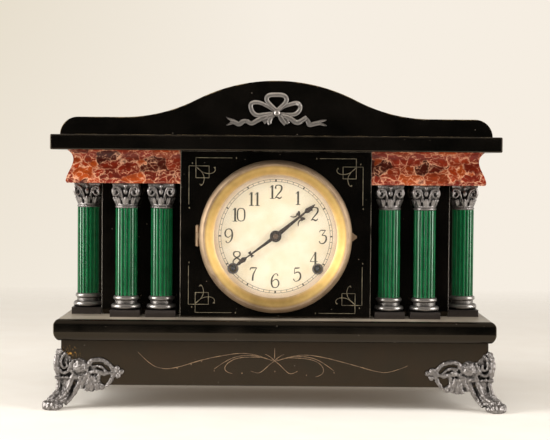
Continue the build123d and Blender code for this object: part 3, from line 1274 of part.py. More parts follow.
def hour_wheel():
    """The hour wheel on a pipe that turns on the minute arbor and carries the hour hand."""
    piece = wheel(HOUR_MESH, CENTRE, MINUTE_WHEEL, HOUR_LAYER, WHEEL_THICKNESS, 2 * PIPE_RADIUS)
    piece += disc(CENTRE, PIPE_RADIUS, HOUR_HAND_FRONT, HOUR_LAYER + WHEEL_THICKNESS)
    return piece - disc(CENTRE, PIPE_BORE, HOUR_HAND_FRONT, HOUR_LAYER + WHEEL_THICKNESS)


# Every piece, by the name of its file


def feet():
    """The four feet: one casting, turned to each corner."""
    casting = foot()
    corners = {
        "foot_front_left": (-1, -1, 0),
        "foot_front_right": (1, -1, 90),
        "foot_rear_right": (1, 1, 180),
        "foot_rear_left": (-1, 1, 270),
    }
    return {
        name: Pos(x * BASE_HALF_WIDTH, y * BASE_HALF_DEPTH, 0) * Rot(0, 0, turn) * casting
        for name, (x, y, turn) in corners.items()
    }


def case_pieces():
    side = case_side()
    moulding = frieze()
    base_z = LEDGE_Z
    shaft_z = LEDGE_Z + PLINTH_HEIGHT + COLUMN_BASE_HEIGHT
    return {
        "base_box": base_box(),
        "base_slab": base_slab(),
        "front_board": front_board(),
        "dial_panel": dial_panel(),
        "case_side_left": mirror(side, about=Plane.YZ),
        "case_side_right": side,
        "back_board": back_board(),
        "frieze_left": mirror(moulding, about=Plane.YZ),
        "frieze_right": moulding,
        "top_slab": top_slab(),
        "pediment": pediment(),
        "ribbon_ornament": ribbon_ornament(),
        "column_bases": row_of_columns(column_base(), base_z),
        "column_shafts": row_of_columns(column_shaft(), shaft_z),
        "column_capitals": row_of_columns(column_capital(), shaft_z + SHAFT_HEIGHT),
        "back_door": back_door(),
        "back_door_hinge_leaf": back_door_hinge_leaf(),
        "back_door_hinge_pin": back_door_hinge_pin(),
    }


def dial_pieces():
    return {
        "bezel_ring": bezel_ring(),
        "bezel_glass": bezel_glass(),
        "bezel_hinge_leaf": bezel_hinge_leaf(),
        "bezel_hinge_pin": bezel_hinge_pin(),
        "dial": dial(),
        "dial_grommets": dial_grommets(),
        "hour_hand": hour_hand(),
        "minute_hand": minute_hand(),
        "hand_nut": hand_nut(),
        "minute_arbor": minute_arbor(),
        "minute_wheel": minute_wheel(),
        "hour_wheel": hour_wheel(),
    }


def frame_pieces():
    nut_back = PLATE_REAR + PILLAR_NUT_HEIGHT
    return {
        "movement_front_plate": movement_front_plate(),
        "movement_back_plate": movement_back_plate(),
        "movement_pillars": at_pillars(PILLAR_RADIUS, INNER_FRONT, INNER_BACK),
        "pillar_nuts": at_pillars(PILLAR_NUT_RADIUS, PLATE_REAR, nut_back),
        "mounting_posts": at_pillars(POST_RADIUS, PANEL_FRONT + BOARD, PLATE_FRONT),
    }


def time_pieces():
    lower_right = PILLARS[0]
    return {
        "time_winding_arbor": winding_arbor(TIME_MAIN),
        "time_main_wheel": main_wheel(TIME_MAIN, SECOND),
        "time_mainspring": mainspring(TIME_MAIN, lower_right),
        "time_second_wheel": train_wheel(
            SECOND, MAIN_MESH, TIME_MAIN, MAIN_LAYER, MAIN_THICKNESS, SECOND_MESH, CENTRE, SECOND_LAYER
        ),
        "time_centre_wheel": time_centre_wheel(),
        "time_fourth_wheel": train_wheel(
            FOURTH, CENTRE_MESH, CENTRE, CENTRE_LAYER, WHEEL_THICKNESS, FOURTH_MESH, ESCAPE, FOURTH_LAYER
        ),
        "escape_wheel": escape_wheel(),
        "verge": verge(),
        "suspension_cock": suspension_cock(),
        "pendulum_rod": pendulum_rod(),
        "pendulum_bob": pendulum_bob(),
    }


def strike_pieces():
    lower_left = PILLARS[2]
    return {
        "strike_winding_arbor": winding_arbor(STRIKE_MAIN),
        "strike_main_wheel": main_wheel(STRIKE_MAIN, STRIKE_SECOND),
        "strike_mainspring": mainspring(STRIKE_MAIN, lower_left),
        "strike_second_wheel": train_wheel(
            STRIKE_SECOND, MAIN_MESH, STRIKE_MAIN, MAIN_LAYER, MAIN_THICKNESS,
            STRIKE_SECOND_MESH, PIN, SECOND_LAYER,
        ),
        "strike_pin_wheel": strike_pin_wheel(),
        "strike_warning_wheel": train_wheel(
            WARNING, PIN_MESH, PIN, PIN_LAYER, WHEEL_THICKNESS, WARNING_MESH, FLY, WARNING_LAYER
        ),
        "strike_fly": strike_fly(),
        "strike_hammer": strike_hammer(),
        "gong_coil": gong_coil(),
        "gong_stand": gong_stand(),
    }


PIECES = {**case_pieces(), **feet(), **dial_pieces(), **frame_pieces(), **time_pieces(), **strike_pieces()}

os.makedirs("parts", exist_ok=True)
for name, piece in PIECES.items():
    export_step(piece, f"parts/{name}.step")
print(len(PIECES), "pieces, winding holes at", TIME_MAIN)
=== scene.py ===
# %% [markdown]
# # A black six-column mantel clock
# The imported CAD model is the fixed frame: it gives every board, wheel and column its place in millimetres.
# This lesson dresses it: the boards get soft arrises and lacquer, the castings are modelled in full, the
# lines on the black faces are laid on, and a plain white sweep is lit to look at it all.

# %% Load the clock
import json
import math

import bpy
from mathutils import Matrix, Vector


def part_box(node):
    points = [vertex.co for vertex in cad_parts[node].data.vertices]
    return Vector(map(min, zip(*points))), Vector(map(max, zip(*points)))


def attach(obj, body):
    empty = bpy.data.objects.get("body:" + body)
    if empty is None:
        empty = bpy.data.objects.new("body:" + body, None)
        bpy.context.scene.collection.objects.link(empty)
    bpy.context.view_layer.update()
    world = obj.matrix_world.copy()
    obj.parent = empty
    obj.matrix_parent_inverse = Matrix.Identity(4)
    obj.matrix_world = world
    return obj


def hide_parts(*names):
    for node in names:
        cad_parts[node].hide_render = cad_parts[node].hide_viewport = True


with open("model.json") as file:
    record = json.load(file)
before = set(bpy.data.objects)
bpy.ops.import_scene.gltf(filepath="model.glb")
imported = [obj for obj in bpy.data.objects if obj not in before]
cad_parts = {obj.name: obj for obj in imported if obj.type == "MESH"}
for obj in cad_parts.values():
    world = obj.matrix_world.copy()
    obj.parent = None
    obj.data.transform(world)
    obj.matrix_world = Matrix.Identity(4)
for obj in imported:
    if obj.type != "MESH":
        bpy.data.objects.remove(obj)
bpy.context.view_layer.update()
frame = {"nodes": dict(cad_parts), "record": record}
nodes = frame["nodes"]
scene = bpy.context.scene
scene.view_settings.view_transform = "Standard"
MM = 0.001


def box_mm(name):
    """The low and the high corner of a CAD node's box, in mm."""
    return [[c / MM for c in corner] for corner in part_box(name)]


# %% [markdown]
# ## Hands on a piece
# Operators act on whatever is selected, so each step first lets go of everything and takes hold of one
# piece. These few helpers do that, add and apply one modifier, and put parts together into one mesh.


# %% Hold, shape and join
def hold(piece):
    """Lets go of everything else and takes hold of one piece."""
    bpy.ops.object.select_all(action="DESELECT")
    piece.select_set(True)
    bpy.context.view_layer.objects.active = piece


def placed(name, data):
    """A new object in the scene."""
    piece = bpy.data.objects.new(name, data)
    scene.collection.objects.link(piece)
    return piece


def shape_with(piece, kind, **settings):
    """Adds one modifier, sets it and applies it."""
    hold(piece)
    modifier = piece.modifiers.new(kind.lower(), kind)
    for setting, value in settings.items():
        setattr(modifier, setting, value)
    bpy.ops.object.modifier_apply(modifier=modifier.name)


def close_up(piece, gap=0.01):
    """Merges doubled points, in mm, and turns every face outwards."""
    hold(piece)
    bpy.ops.object.mode_set(mode="EDIT")
    bpy.ops.mesh.select_all(action="SELECT")
    bpy.ops.mesh.remove_doubles(threshold=gap * MM)
    bpy.ops.mesh.normals_make_consistent(inside=False)
    bpy.ops.object.mode_set(mode="OBJECT")


def join(name, parts):
    """Puts several meshes into one piece."""
    hold(parts[0])
    for part in parts[1:]:
        part.select_set(True)
    bpy.ops.object.join()
    parts[0].name = name
    parts[0].data.name = name
    return parts[0]


def smooth(piece, angle=40):
    """Shades a piece smooth, but keeps edges sharper than the angle."""
    hold(piece)
    bpy.ops.object.shade_smooth_by_angle(angle=math.radians(angle))


def seat(piece, finish, slot, body, *stands_for):
    """Gives a finished piece its material and the body it moves with, and hides the nodes it stands for; the
    slot is not used.
    """
    piece.data.materials.clear()
    piece.data.materials.append(finish)
    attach(piece, body)
    if stands_for:
        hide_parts(*stands_for)
    print("seated", piece.name, "faces", len(piece.data.polygons))


# %% [markdown]
# ## How a finish is written
# Each finish is a Principled shader with a pattern in front of it. One function turns a hex colour into the
# linear one that sockets take, one adds a node with its settings and links, and one starts a finish. A node
# given as a link stands for its first output. Patterns read Object coordinates, which are metres here, so a
# pattern's scale is one over its real size.


# %% Colours and nodes
def linear(hex_colour):
    """An sRGB hex colour as a linear colour."""
    parts = [int(hex_colour[i : i + 2], 16) / 255 for i in (1, 3, 5)]
    return tuple(c / 12.92 if c <= 0.04045 else ((c + 0.055) / 1.055) ** 2.4 for c in parts) + (1.0,)


def feed(made, links):
    """Fills a node's sockets, each from a node's first output, from a named output or with a plain value."""
    for socket, value in links.items():
        source = value.outputs[0] if isinstance(value, bpy.types.Node) else value
        if isinstance(source, bpy.types.NodeSocket):
            made.id_data.links.new(source, made.inputs[socket])
        else:
            made.inputs[socket].default_value = source


def node(tree, kind, links=None, stops=None, **settings):
    """Adds a shader node with its settings and links; a stop is a place on a ramp and its colour."""
    made = tree.nodes.new("ShaderNode" + kind)
    for setting, value in settings.items():
        setattr(made, setting, value)
    feed(made, links or {})
    for place, colour in stops or []:
        ramp = made.color_ramp.elements
        stop = ramp[0] if place == stops[0][0] else ramp[-1] if place == stops[-1][0] else ramp.new(place)
        stop.position, stop.color = place, linear(colour)
    return made


def start_finish(name, **constants):
    """A new material, its node tree, its shader with plain values set, and the places on the piece."""
    material = bpy.data.materials.new(name)
    material.use_nodes = True
    tree = material.node_tree
    shader = tree.nodes["Principled BSDF"]
    feed(shader, {socket.replace("_", " "): value for socket, value in constants.items()})
    print("finish", name)
    return material, tree, shader, node(tree, "TexCoord").outputs["Object"]


def per(size_mm):
    """A texture scale for a pattern of this size in mm."""
    return 1 / (size_mm * MM)


# %% [markdown]
# ## Black lacquer
# Sheet-iron-black varnish over softwood, rubbed to a gloss: almost no colour of its own, a clear shine, and
# along the arrises a pale line where handling wore it through. The Bevel node sees an arris from the flat
# face beside it, and a noise breaks the line up. A few grey specks are dust in the varnish.


# %% Black lacquer
def black_lacquer(name, bare, rub, patch_mm, gloss, dust_share=0.25, wear_from_mm=0, tint="#0e0c0a"):
    """Lacquer whose arrises show the bare colour where a noise is above the two rub marks."""
    warm = {"Specular_Tint": linear("#ffe9cc"), "Specular_IOR_Level": 0.42}
    material, tree, shader, place = start_finish(name, **warm)
    rounded = node(tree, "Bevel", {"Radius": 1.3 * MM}, samples=5)
    flat = node(tree, "NewGeometry").outputs["Normal"]
    meet = node(tree, "VectorMath", {0: rounded.outputs["Normal"], 1: flat}, operation="DOT_PRODUCT")
    arris = node(tree, "MapRange", {"Value": meet.outputs["Value"], "From Min": 0.985, "From Max": 0.86})
    crumbs = {"Scale": per(patch_mm), "Detail": 5.0, "Roughness": 0.7}
    grain = node(tree, "TexNoise", {"Vector": place, **crumbs})
    patch = node(tree, "MapRange", {"Value": grain, "From Min": rub[0], "From Max": rub[1]})
    from_middle = node(tree, "SeparateXYZ", {0: place}).outputs["X"]
    sideways = node(tree, "Math", {0: from_middle}, operation="ABSOLUTE")
    reach = node(tree, "Math", {0: sideways, 1: wear_from_mm * MM}, operation="GREATER_THAN")
    rubbed = node(tree, "Math", {0: patch, 1: reach}, operation="MULTIPLY")
    worn = node(tree, "Math", {0: arris, 1: rubbed}, operation="MULTIPLY")
    specks = node(tree, "TexVoronoi", {"Vector": place, "Scale": per(11)})
    speck_size = {"From Min": 0.05, "From Max": 0.03, "To Max": 0.28}
    speck = node(tree, "MapRange", {"Value": specks.outputs["Distance"], **speck_size})
    level = node(tree, "SeparateXYZ", {0: flat}).outputs["Z"]
    shelf = {"From Min": 0.93, "From Max": 0.995, "To Max": dust_share}
    upward = node(tree, "MapRange", {"Value": level, **shelf})
    body = node(tree, "TexNoise", {"Vector": place, "Scale": per(35), "Detail": 3.0})
    film = node(tree, "MapRange", {"Value": body, "From Min": 0.1, "From Max": 0.6, "To Min": 0.4})
    settled = node(tree, "Math", {0: upward, 1: film}, operation="MULTIPLY")
    dust = node(tree, "Math", {0: speck, 1: settled}, operation="MAXIMUM")
    black = node(tree, "ValToRGB", {"Fac": body}, [(0.3, "#050504"), (0.7, tint)])
    dusty = node(tree, "MixRGB", {0: dust, 1: black, 2: linear("#b3a797")})
    colour = node(tree, "MixRGB", {0: worn, 1: dusty, 2: linear(bare)})
    haze = {"From Min": 0.3, "From Max": 0.7, "To Min": gloss, "To Max": gloss + 0.07}
    shine = node(tree, "MapRange", {"Value": body, **haze})
    soiled = node(tree, "Math", {0: worn, 1: settled}, operation="MAXIMUM")
    rough = node(tree, "MapRange", {"Value": soiled, "To Min": shine, "To Max": 0.6})
    orange_peel = node(tree, "TexNoise", {"Vector": place, "Scale": per(2.5), "Detail": 2.0})
    bump = node(tree, "Bump", {"Height": orange_peel, "Strength": 0.03, "Distance": 0.1 * MM})
    feed(shader, {"Base Color": colour, "Roughness": rough, "Normal": bump})
    return material


case_lacquer = black_lacquer("black_lacquer", "#8d857a", (0.34, 0.52), 26, 0.05)
side_lacquer = black_lacquer("black_lacquer_side", "#a9a29a", (0.2, 0.4), 40, 0.05, wear_from_mm=171)
worn_lacquer = black_lacquer("black_lacquer_rubbed", "#b0976d", (0.46, 0.56), 15, 0.07)
slab_lacquer = black_lacquer("black_lacquer_handled", "#a1937f", (0.36, 0.50), 22, 0.06, dust_share=0.8)
cornice_lacquer = black_lacquer("black_lacquer_cornice", "#a1937f", (0.42, 0.56), 22, 0.06, dust_share=0.2)
base_lacquer = black_lacquer("black_lacquer_browned", "#7a6650", (0.60, 0.80), 30, 0.12, tint="#1c130c")
plain_lacquer = black_lacquer("black_lacquer_plain", "#8d857a", (0.70, 0.90), 26, 0.05)

# %% [markdown]
# ## A chip in the base
# Above the left front foot a patch of the lacquer has flaked off and the tan ground under it shows. It is a
# round mask about one point, broken up by a noise, laid over the finished lacquer.

# %% A chip in the base
CHIP_PLACE = (-201.0 * MM, -77.5 * MM, 53.0 * MM)
CHIP_REACH = 13
CHIP_SQUASH = 0.62
tree = base_lacquer.node_tree
shader = tree.nodes["Principled BSDF"]
lacquer_colour = shader.inputs["Base Color"].links[0].from_socket
place = node(tree, "TexCoord").outputs["Object"]
squat = node(tree, "Mapping", {"Vector": place, "Scale": (CHIP_SQUASH, 1.0, 1.0)})
chip_centre = (CHIP_SQUASH * CHIP_PLACE[0], CHIP_PLACE[1], CHIP_PLACE[2])
away = node(tree, "VectorMath", {0: squat, 1: chip_centre}, operation="DISTANCE").outputs["Value"]
crumble = node(tree, "TexNoise", {"Vector": place, "Scale": per(2.6), "Detail": 5.0, "Roughness": 0.8})
fall = {"From Min": 0.0, "From Max": CHIP_REACH * MM, "To Min": 0.13, "To Max": -0.14}
nearness = node(tree, "MapRange", {"Value": away, **fall})
flaked = node(tree, "Math", {0: crumble, 1: nearness}, operation="ADD")
chip = node(tree, "MapRange", {"Value": flaked, "From Min": 0.58, "From Max": 0.68})
ground = node(tree, "ValToRGB", {"Fac": crumble}, [(0.4, "#3a2410"), (0.55, "#a87a34"), (0.7, "#c09046")])
chipped = node(tree, "MixRGB", {0: chip, 1: lacquer_colour, 2: ground})
feed(shader, {"Base Color": chipped})
print("chip at mm", [round(c / MM, 1) for c in CHIP_PLACE])

# %% [markdown]
# ## Marbled lacquer
# The two friezes are painted to look like a red stone: lumps of brick, rust and dark red about 12 mm across
# with pale veins running between them and a finer net of veins inside. A Voronoi pattern has just such
# cells and edges, and a noise bends its straight edges.

# %% Marbled lacquer
marble, tree, shader, place = start_finish("marbled_lacquer", Roughness=0.32, Specular_IOR_Level=0.3)
bend = node(tree, "TexNoise", {"Vector": place, "Scale": per(14), "Detail": 5.0, "Roughness": 0.6})
shift = node(tree, "VectorMath", {0: bend.outputs["Color"], 1: (0.5, 0.5, 0.5)}, operation="SUBTRACT")
sway = node(tree, "VectorMath", {0: shift, "Scale": 15 * MM}, operation="SCALE")
swayed = node(tree, "VectorMath", {0: place, 1: sway}, operation="ADD")
bent = node(tree, "Mapping", {"Vector": swayed, "Scale": (0.7, 1.0, 1.0)})
lumps = node(tree, "TexVoronoi", {"Vector": bent, "Scale": per(12)})
seams = node(tree, "TexVoronoi", {"Vector": bent, "Scale": per(12)}, feature="DISTANCE_TO_EDGE")
threads = node(tree, "TexVoronoi", {"Vector": bent, "Scale": per(5)}, feature="DISTANCE_TO_EDGE")
REDS = [(0.15, "#4d1408"), (0.35, "#8c2710"), (0.5, "#a83a10"), (0.65, "#74200e"), (0.85, "#b24a14")]
stone = node(tree, "ValToRGB", {"Fac": lumps.outputs["Color"]}, REDS)
cloud = node(tree, "TexNoise", {"Vector": bent, "Scale": per(6), "Detail": 5.0, "Roughness": 0.7})
mottle = node(tree, "ValToRGB", {"Fac": cloud}, [(0.35, "#7a5a4c"), (0.62, "#ffffff")])
mottled = node(tree, "MixRGB", {0: 0.6, 1: stone, 2: mottle}, blend_type="MULTIPLY")
seam = node(tree, "MapRange", {"Value": seams.outputs["Distance"], "From Min": 0.045, "From Max": 0.01})
thread = node(tree, "MapRange", {"Value": threads.outputs["Distance"], "From Min": 0.065, "From Max": 0.015})
broken = node(tree, "MapRange", {"Value": cloud, "From Min": 0.44, "From Max": 0.58})
thin = node(tree, "Math", {0: thread, 1: broken}, operation="MULTIPLY")
fade = node(tree, "MapRange", {"Value": cloud, "From Min": 0.38, "From Max": 0.56})
seam_part = node(tree, "Math", {0: seam, 1: fade}, operation="MULTIPLY")
vein = node(tree, "Math", {0: seam_part, 1: thin}, operation="MAXIMUM")
soft_vein = node(tree, "Math", {0: vein, 1: 0.75}, operation="MULTIPLY")
veined = node(tree, "MixRGB", {0: soft_vein, 1: mottled, 2: linear("#f0b995")})
feed(shader, {"Base Color": veined})

# %% [markdown]
# ## Green lacquer
# The shafts are wood under a clear deep green, with a hard shine that draws a bright line down every flute.
# The colour is darkened in the flutes as painted shade, where ambient occlusion finds the hollows, and stays
# lighter on the ridges.

# %% Green lacquer
green, tree, shader, place = start_finish("green_lacquer", Roughness=0.17, Specular_IOR_Level=0.75)
# Painted shade: the green darkens in the flutes wherever ambient occlusion finds a hollow.
hollow = node(tree, "AmbientOcclusion", {"Distance": 2.5 * MM}, samples=8, only_local=True)
FLUTE_SHADE_GREENS = [(0.45, "#02200e"), (0.75, "#0a5530"), (1.0, "#177543")]
depth = node(tree, "ValToRGB", {"Fac": hollow.outputs["AO"]}, FLUTE_SHADE_GREENS)
streak = node(tree, "TexNoise", {"Vector": place, "Scale": per(9), "Detail": 4.0})
tone = node(tree, "ValToRGB", {"Fac": streak}, [(0.3, "#b8b8b8"), (0.7, "#ffffff")])
shaded = node(tree, "MixRGB", {0: 0.6, 1: depth, 2: tone}, blend_type="MULTIPLY")
feed(shader, {"Base Color": shaded})

# %% [markdown]
# ## Cast white metal
# The feet, capitals, column bases and bow are a cheap tin and lead casting with an antique finish: dark
# wash left in the hollows, metal rubbed bright on the high places. Ambient occlusion finds the hollows, and
# a fine noise gives the grain of the mould.


# %% Cast white metal
def white_metal(name, hollow_hex, body_hex, bright_hex, rough_low, rough_high, relief=0.0):
    """An antiqued casting, dark in its hollows; its relief is a leafy roughness left by the mould."""
    material, tree, shader, place = start_finish(name, Metallic=0.85)
    hollow = node(tree, "AmbientOcclusion", {"Distance": 4.5 * MM}, samples=8, only_local=True)
    wash = node(tree, "TexNoise", {"Vector": place, "Scale": per(4), "Detail": 5.0, "Roughness": 0.65})
    grime = node(tree, "MapRange", {"Value": wash, "To Min": -0.16, "To Max": 0.16})
    open_share = node(tree, "Math", {0: hollow.outputs["AO"], 1: grime}, operation="ADD")
    antique = [(0.25, hollow_hex), (0.62, body_hex), (1.0, bright_hex)]
    colour = node(tree, "ValToRGB", {"Fac": open_share}, antique)
    rubbing = {"From Min": 0.3, "To Min": rough_high, "To Max": rough_low}
    rough = node(tree, "MapRange", {"Value": open_share, **rubbing})
    grain = node(tree, "TexNoise", {"Vector": place, "Scale": per(0.9), "Detail": 3.0})
    leafy = node(tree, "TexNoise", {"Vector": place, "Scale": per(3.2), "Detail": 3.0, "Distortion": 1.2})
    chased = node(tree, "Bump", {"Height": leafy, "Strength": relief, "Distance": 1.6 * MM})
    bump = node(tree, "Bump", {"Height": grain, "Strength": 0.12, "Distance": 0.12 * MM, "Normal": chased})
    feed(shader, {"Base Color": colour, "Roughness": rough, "Normal": bump})
    return material


pewter = white_metal("cast_white_metal", "#100e0e", "#4e4b4a", "#8b8684", 0.3, 0.52, relief=0.55)
ring_metal = white_metal("cast_white_metal_rings", "#121010", "#524f4d", "#94908d", 0.3, 0.5)
bow_metal = white_metal("cast_white_metal_bow", "#1f1c1b", "#777270", "#b2aca7", 0.3, 0.5)

# %% [markdown]
# ## Brass, steel and iron
# The bezel is spun brass under clear lacquer, browned on the outer roll where hands open it; its sloping
# inner band is bright with a painted sheen. The movement is plain rolled brass, browned with age, and its
# arbors are steel
# drawn with fine scratches along them.

# %% Spun brass
DIAL_CENTRE = Vector((0, 0, 168.05 * MM))
BAND_RADIUS = 59.5
ROLL_RADIUS = 68.5
# Painted sheen on the inner band: pale cream near the dial, darker towards the roll.
INNER_BAND_SHEEN = [(0.0, "#e3c9a2"), (0.25, "#d5b073"), (0.5, "#cba966"), (0.8, "#cdae70"), (1.0, "#b7955b")]


def about_dial(tree, place):
    """The places on the dial's plane about its centre, and how far from the centre they are."""
    centred = node(tree, "VectorMath", {0: place, 1: DIAL_CENTRE}, operation="SUBTRACT")
    across = node(tree, "VectorMath", {0: centred, 1: (1, 0, 1)}, operation="MULTIPLY")
    return across, node(tree, "VectorMath", {0: across}, operation="LENGTH").outputs["Value"]


brass, tree, shader, place = start_finish("spun_brass", Metallic=1.0)
across, radius = about_dial(tree, place)
cloud = node(tree, "TexNoise", {"Vector": place, "Scale": per(14), "Detail": 5.0, "Roughness": 0.6})
slope_reach = {"From Min": BAND_RADIUS * MM, "From Max": ROLL_RADIUS * MM}
slope = node(tree, "MapRange", {"Value": radius, **slope_reach})
band_sheen = node(tree, "ValToRGB", {"Fac": slope}, INNER_BAND_SHEEN)
tone = node(tree, "ValToRGB", {"Fac": cloud}, [(0.3, "#dcdcdc"), (0.7, "#ffffff")])
bright = node(tree, "MixRGB", {0: 1.0, 1: band_sheen, 2: tone}, blend_type="MULTIPLY")
roll_reach = {"From Min": (ROLL_RADIUS - 0.7) * MM, "From Max": (ROLL_RADIUS + 0.9) * MM}
roll = node(tree, "MapRange", {"Value": radius, **roll_reach})
tarnish = node(tree, "ValToRGB", {"Fac": cloud}, [(0.3, "#8b7661"), (0.7, "#ab957b")])
colour = node(tree, "MixRGB", {0: roll, 1: bright, 2: tarnish})
rough = node(tree, "MapRange", {"Value": roll, "To Min": 0.54, "To Max": 0.62})
lathe = {"wave_type": "RINGS", "rings_direction": "SPHERICAL"}
rings = node(tree, "TexWave", {"Vector": across, "Scale": per(1.2) / 20}, **lathe)
turning = node(tree, "Bump", {"Height": rings, "Strength": 0.03, "Distance": 0.05 * MM})
feed(shader, {"Base Color": colour, "Roughness": rough, "Normal": turning})


# %% Rolled and drawn metals
def plain_metal(name, low_hex, high_hex, cloud_mm, rough_low, rough_high, metallic=1.0):
    """A metal whose colour and shine drift in clouds, with short fine scratches."""
    material, tree, shader, place = start_finish(name, Metallic=metallic)
    drift = {"Scale": per(cloud_mm), "Detail": 5.0, "Roughness": 0.65}
    cloud = node(tree, "TexNoise", {"Vector": place, **drift})
    colour = node(tree, "ValToRGB", {"Fac": cloud}, [(0.3, low_hex), (0.7, high_hex)])
    rough = node(tree, "MapRange", {"Value": cloud, "To Min": rough_low, "To Max": rough_high})
    stretch = node(tree, "Mapping", {"Vector": place, "Scale": (1.0, 0.12, 1.0)})
    scratch = node(tree, "TexNoise", {"Vector": stretch, "Scale": per(0.6), "Detail": 2.0})
    bump = node(tree, "Bump", {"Height": scratch, "Strength": 0.08, "Distance": 0.05 * MM})
    feed(shader, {"Base Color": colour, "Roughness": rough, "Normal": bump})
    return material


rolled_brass = plain_metal("rolled_brass", "#9a7431", "#d0a552", 16, 0.26, 0.45)
drawn_steel = plain_metal("drawn_steel", "#76736e", "#b4b1ab", 10, 0.24, 0.42)
browned_steel = plain_metal("browned_steel", "#1f150d", "#402d1d", 5, 0.45, 0.6, metallic=0.35)
black_iron = plain_metal("cast_iron_black", "#121110", "#2b2825", 6, 0.5, 0.7, metallic=0.5)
tin_plate = plain_metal("tinned_sheet", "#77746e", "#a29e96", 22, 0.32, 0.55)
hole_brass = plain_metal("grommet_brass", "#5f564d", "#968b7f", 4, 0.4, 0.6, metallic=0.7)
nut_brass = plain_metal("browned_brass", "#5a4536", "#82674f", 4, 0.4, 0.55, metallic=0.6)

# %% [markdown]
# ## Dial, glass, back board and gilding
# The dial is paper-smooth cream enamel on tin, freckled with age, and painted warmer and pinker at its rim
# against the bezel's shadow. The glass is thin and clean, so it is only a faint shine. The back is softwood
# stained dark, with grain along it,
# and the incised lines on the black faces still hold some bronze paint.

# %% Dial enamel
DIAL_RADIUS = 60.0
enamel, tree, shader, place = start_finish("dial_enamel", Roughness=0.42)
radius = about_dial(tree, place)[1]
# Painted light: towards the rim the cream turns warmer and pinker, against the bezel's shadow.
rim_reach = {"From Min": 0.86 * DIAL_RADIUS * MM, "From Max": 0.98 * DIAL_RADIUS * MM}
painted_rim_glow = node(tree, "MapRange", {"Value": radius, **rim_reach})
cream = node(tree, "ValToRGB", {"Fac": painted_rim_glow}, [(0.0, "#f7ecd4"), (1.0, "#ffe8cc")])
age = node(tree, "TexNoise", {"Vector": place, "Scale": per(19), "Detail": 5.0, "Roughness": 0.6})
stain = node(tree, "ValToRGB", {"Fac": age}, [(0.3, "#efe6d2"), (0.6, "#ffffff")])
aged = node(tree, "MixRGB", {0: 0.7, 1: cream, 2: stain}, blend_type="MULTIPLY")
spots = node(tree, "TexVoronoi", {"Vector": place, "Scale": per(8)})
freckle_size = {"From Min": 0.05, "From Max": 0.02, "To Max": 0.35}
freckle = node(tree, "MapRange", {"Value": spots.outputs["Distance"], **freckle_size})
spotted = node(tree, "MixRGB", {0: freckle, 1: aged, 2: linear("#a08a62")})
feed(shader, {"Base Color": spotted})

# %% Window glass, stained softwood, ink and bronze paint
glass, tree, shader, place = start_finish("window_glass", Roughness=0.03, Alpha=0.025)
smear = node(tree, "TexNoise", {"Vector": place, "Scale": per(30), "Detail": 3.0})
clean = node(tree, "ValToRGB", {"Fac": smear}, [(0.3, "#e9ece9"), (0.7, "#f7f8f6")])
feed(shader, {"Base Color": clean})

softwood, tree, shader, place = start_finish("stained_softwood", Roughness=0.7)
along = node(tree, "Mapping", {"Vector": place, "Scale": (0.07, 1.0, 1.0)})
grain = node(tree, "TexNoise", {"Vector": along, "Scale": per(4), "Detail": 6.0, "Roughness": 0.6})
wood = node(tree, "ValToRGB", {"Fac": grain}, [(0.3, "#2a1d14"), (0.5, "#44301f"), (0.72, "#5b432c")])
bump = node(tree, "Bump", {"Height": grain, "Strength": 0.25, "Distance": 0.2 * MM})
feed(shader, {"Base Color": wood, "Normal": bump})


def thin_paint(name, low_hex, high_hex, patch_mm, roughness, metallic):
    """A painted line whose colour has rubbed thin in places."""
    material, tree, shader, place = start_finish(name, Roughness=roughness, Metallic=metallic)
    rub = node(tree, "TexNoise", {"Vector": place, "Scale": per(patch_mm), "Detail": 4.0, "Roughness": 0.7})
    colour = node(tree, "ValToRGB", {"Fac": rub}, [(0.35, low_hex), (0.62, high_hex)])
    feed(shader, {"Base Color": colour})
    return material


ink = thin_paint("dial_ink", "#2f2a1c", "#4c4430", 3, 0.6, 0.0)
panel_bronze = thin_paint("bronze_paint", "#463f33", "#857c66", 6, 0.5, 0.2)
base_bronze = thin_paint("bronze_paint_browned", "#4a3b2e", "#8d7358", 7, 0.5, 0.2)

# %% [markdown]
# ## CAD nodes that keep their shape
# The movement, the glass, the dial and the hardware already have the shape of the real thing, so they only
# need their finish. The record says which slot each node takes.

# %% Finish the CAD nodes
finish_of_slot = {
    "black_lacquer": case_lacquer,
    "back_wood": softwood,
    "marbled_lacquer": marble,
    "green_lacquer": green,
    "cast_white_metal": pewter,
    "spun_brass": brass,
    "glass": glass,
    "dial_enamel": enamel,
    "browned_steel": browned_steel,
    "tin_plate": tin_plate,
    "movement_brass": rolled_brass,
    "steel": drawn_steel,
    "iron": black_iron,
}
slot_of_node = {row["node"]: row["material_slot"] for row in frame["record"]["subparts"]}
for name, cad_node in nodes.items():
    cad_node.data.materials.clear()
    cad_node.data.materials.append(finish_of_slot[slot_of_node[name]])
nodes["dial_grommets"].data.materials[0] = hole_brass
nodes["hand_nut"].data.materials[0] = nut_brass
print("finished nodes", len(slot_of_node))

# %% [markdown]
# ## The case boards
# A joiner planes every arris of a lacquered case a little round, or the varnish would not hold there. The
# CAD boards have sharp ones, so each is copied, its loose triangles are merged into whole faces, and a
# Bevel modifier rounds the arrises. The rounding is what catches the light along the edges. Weighted
# normals keep the wide faces truly flat, so that they reflect like a flat board and not like a bent one.


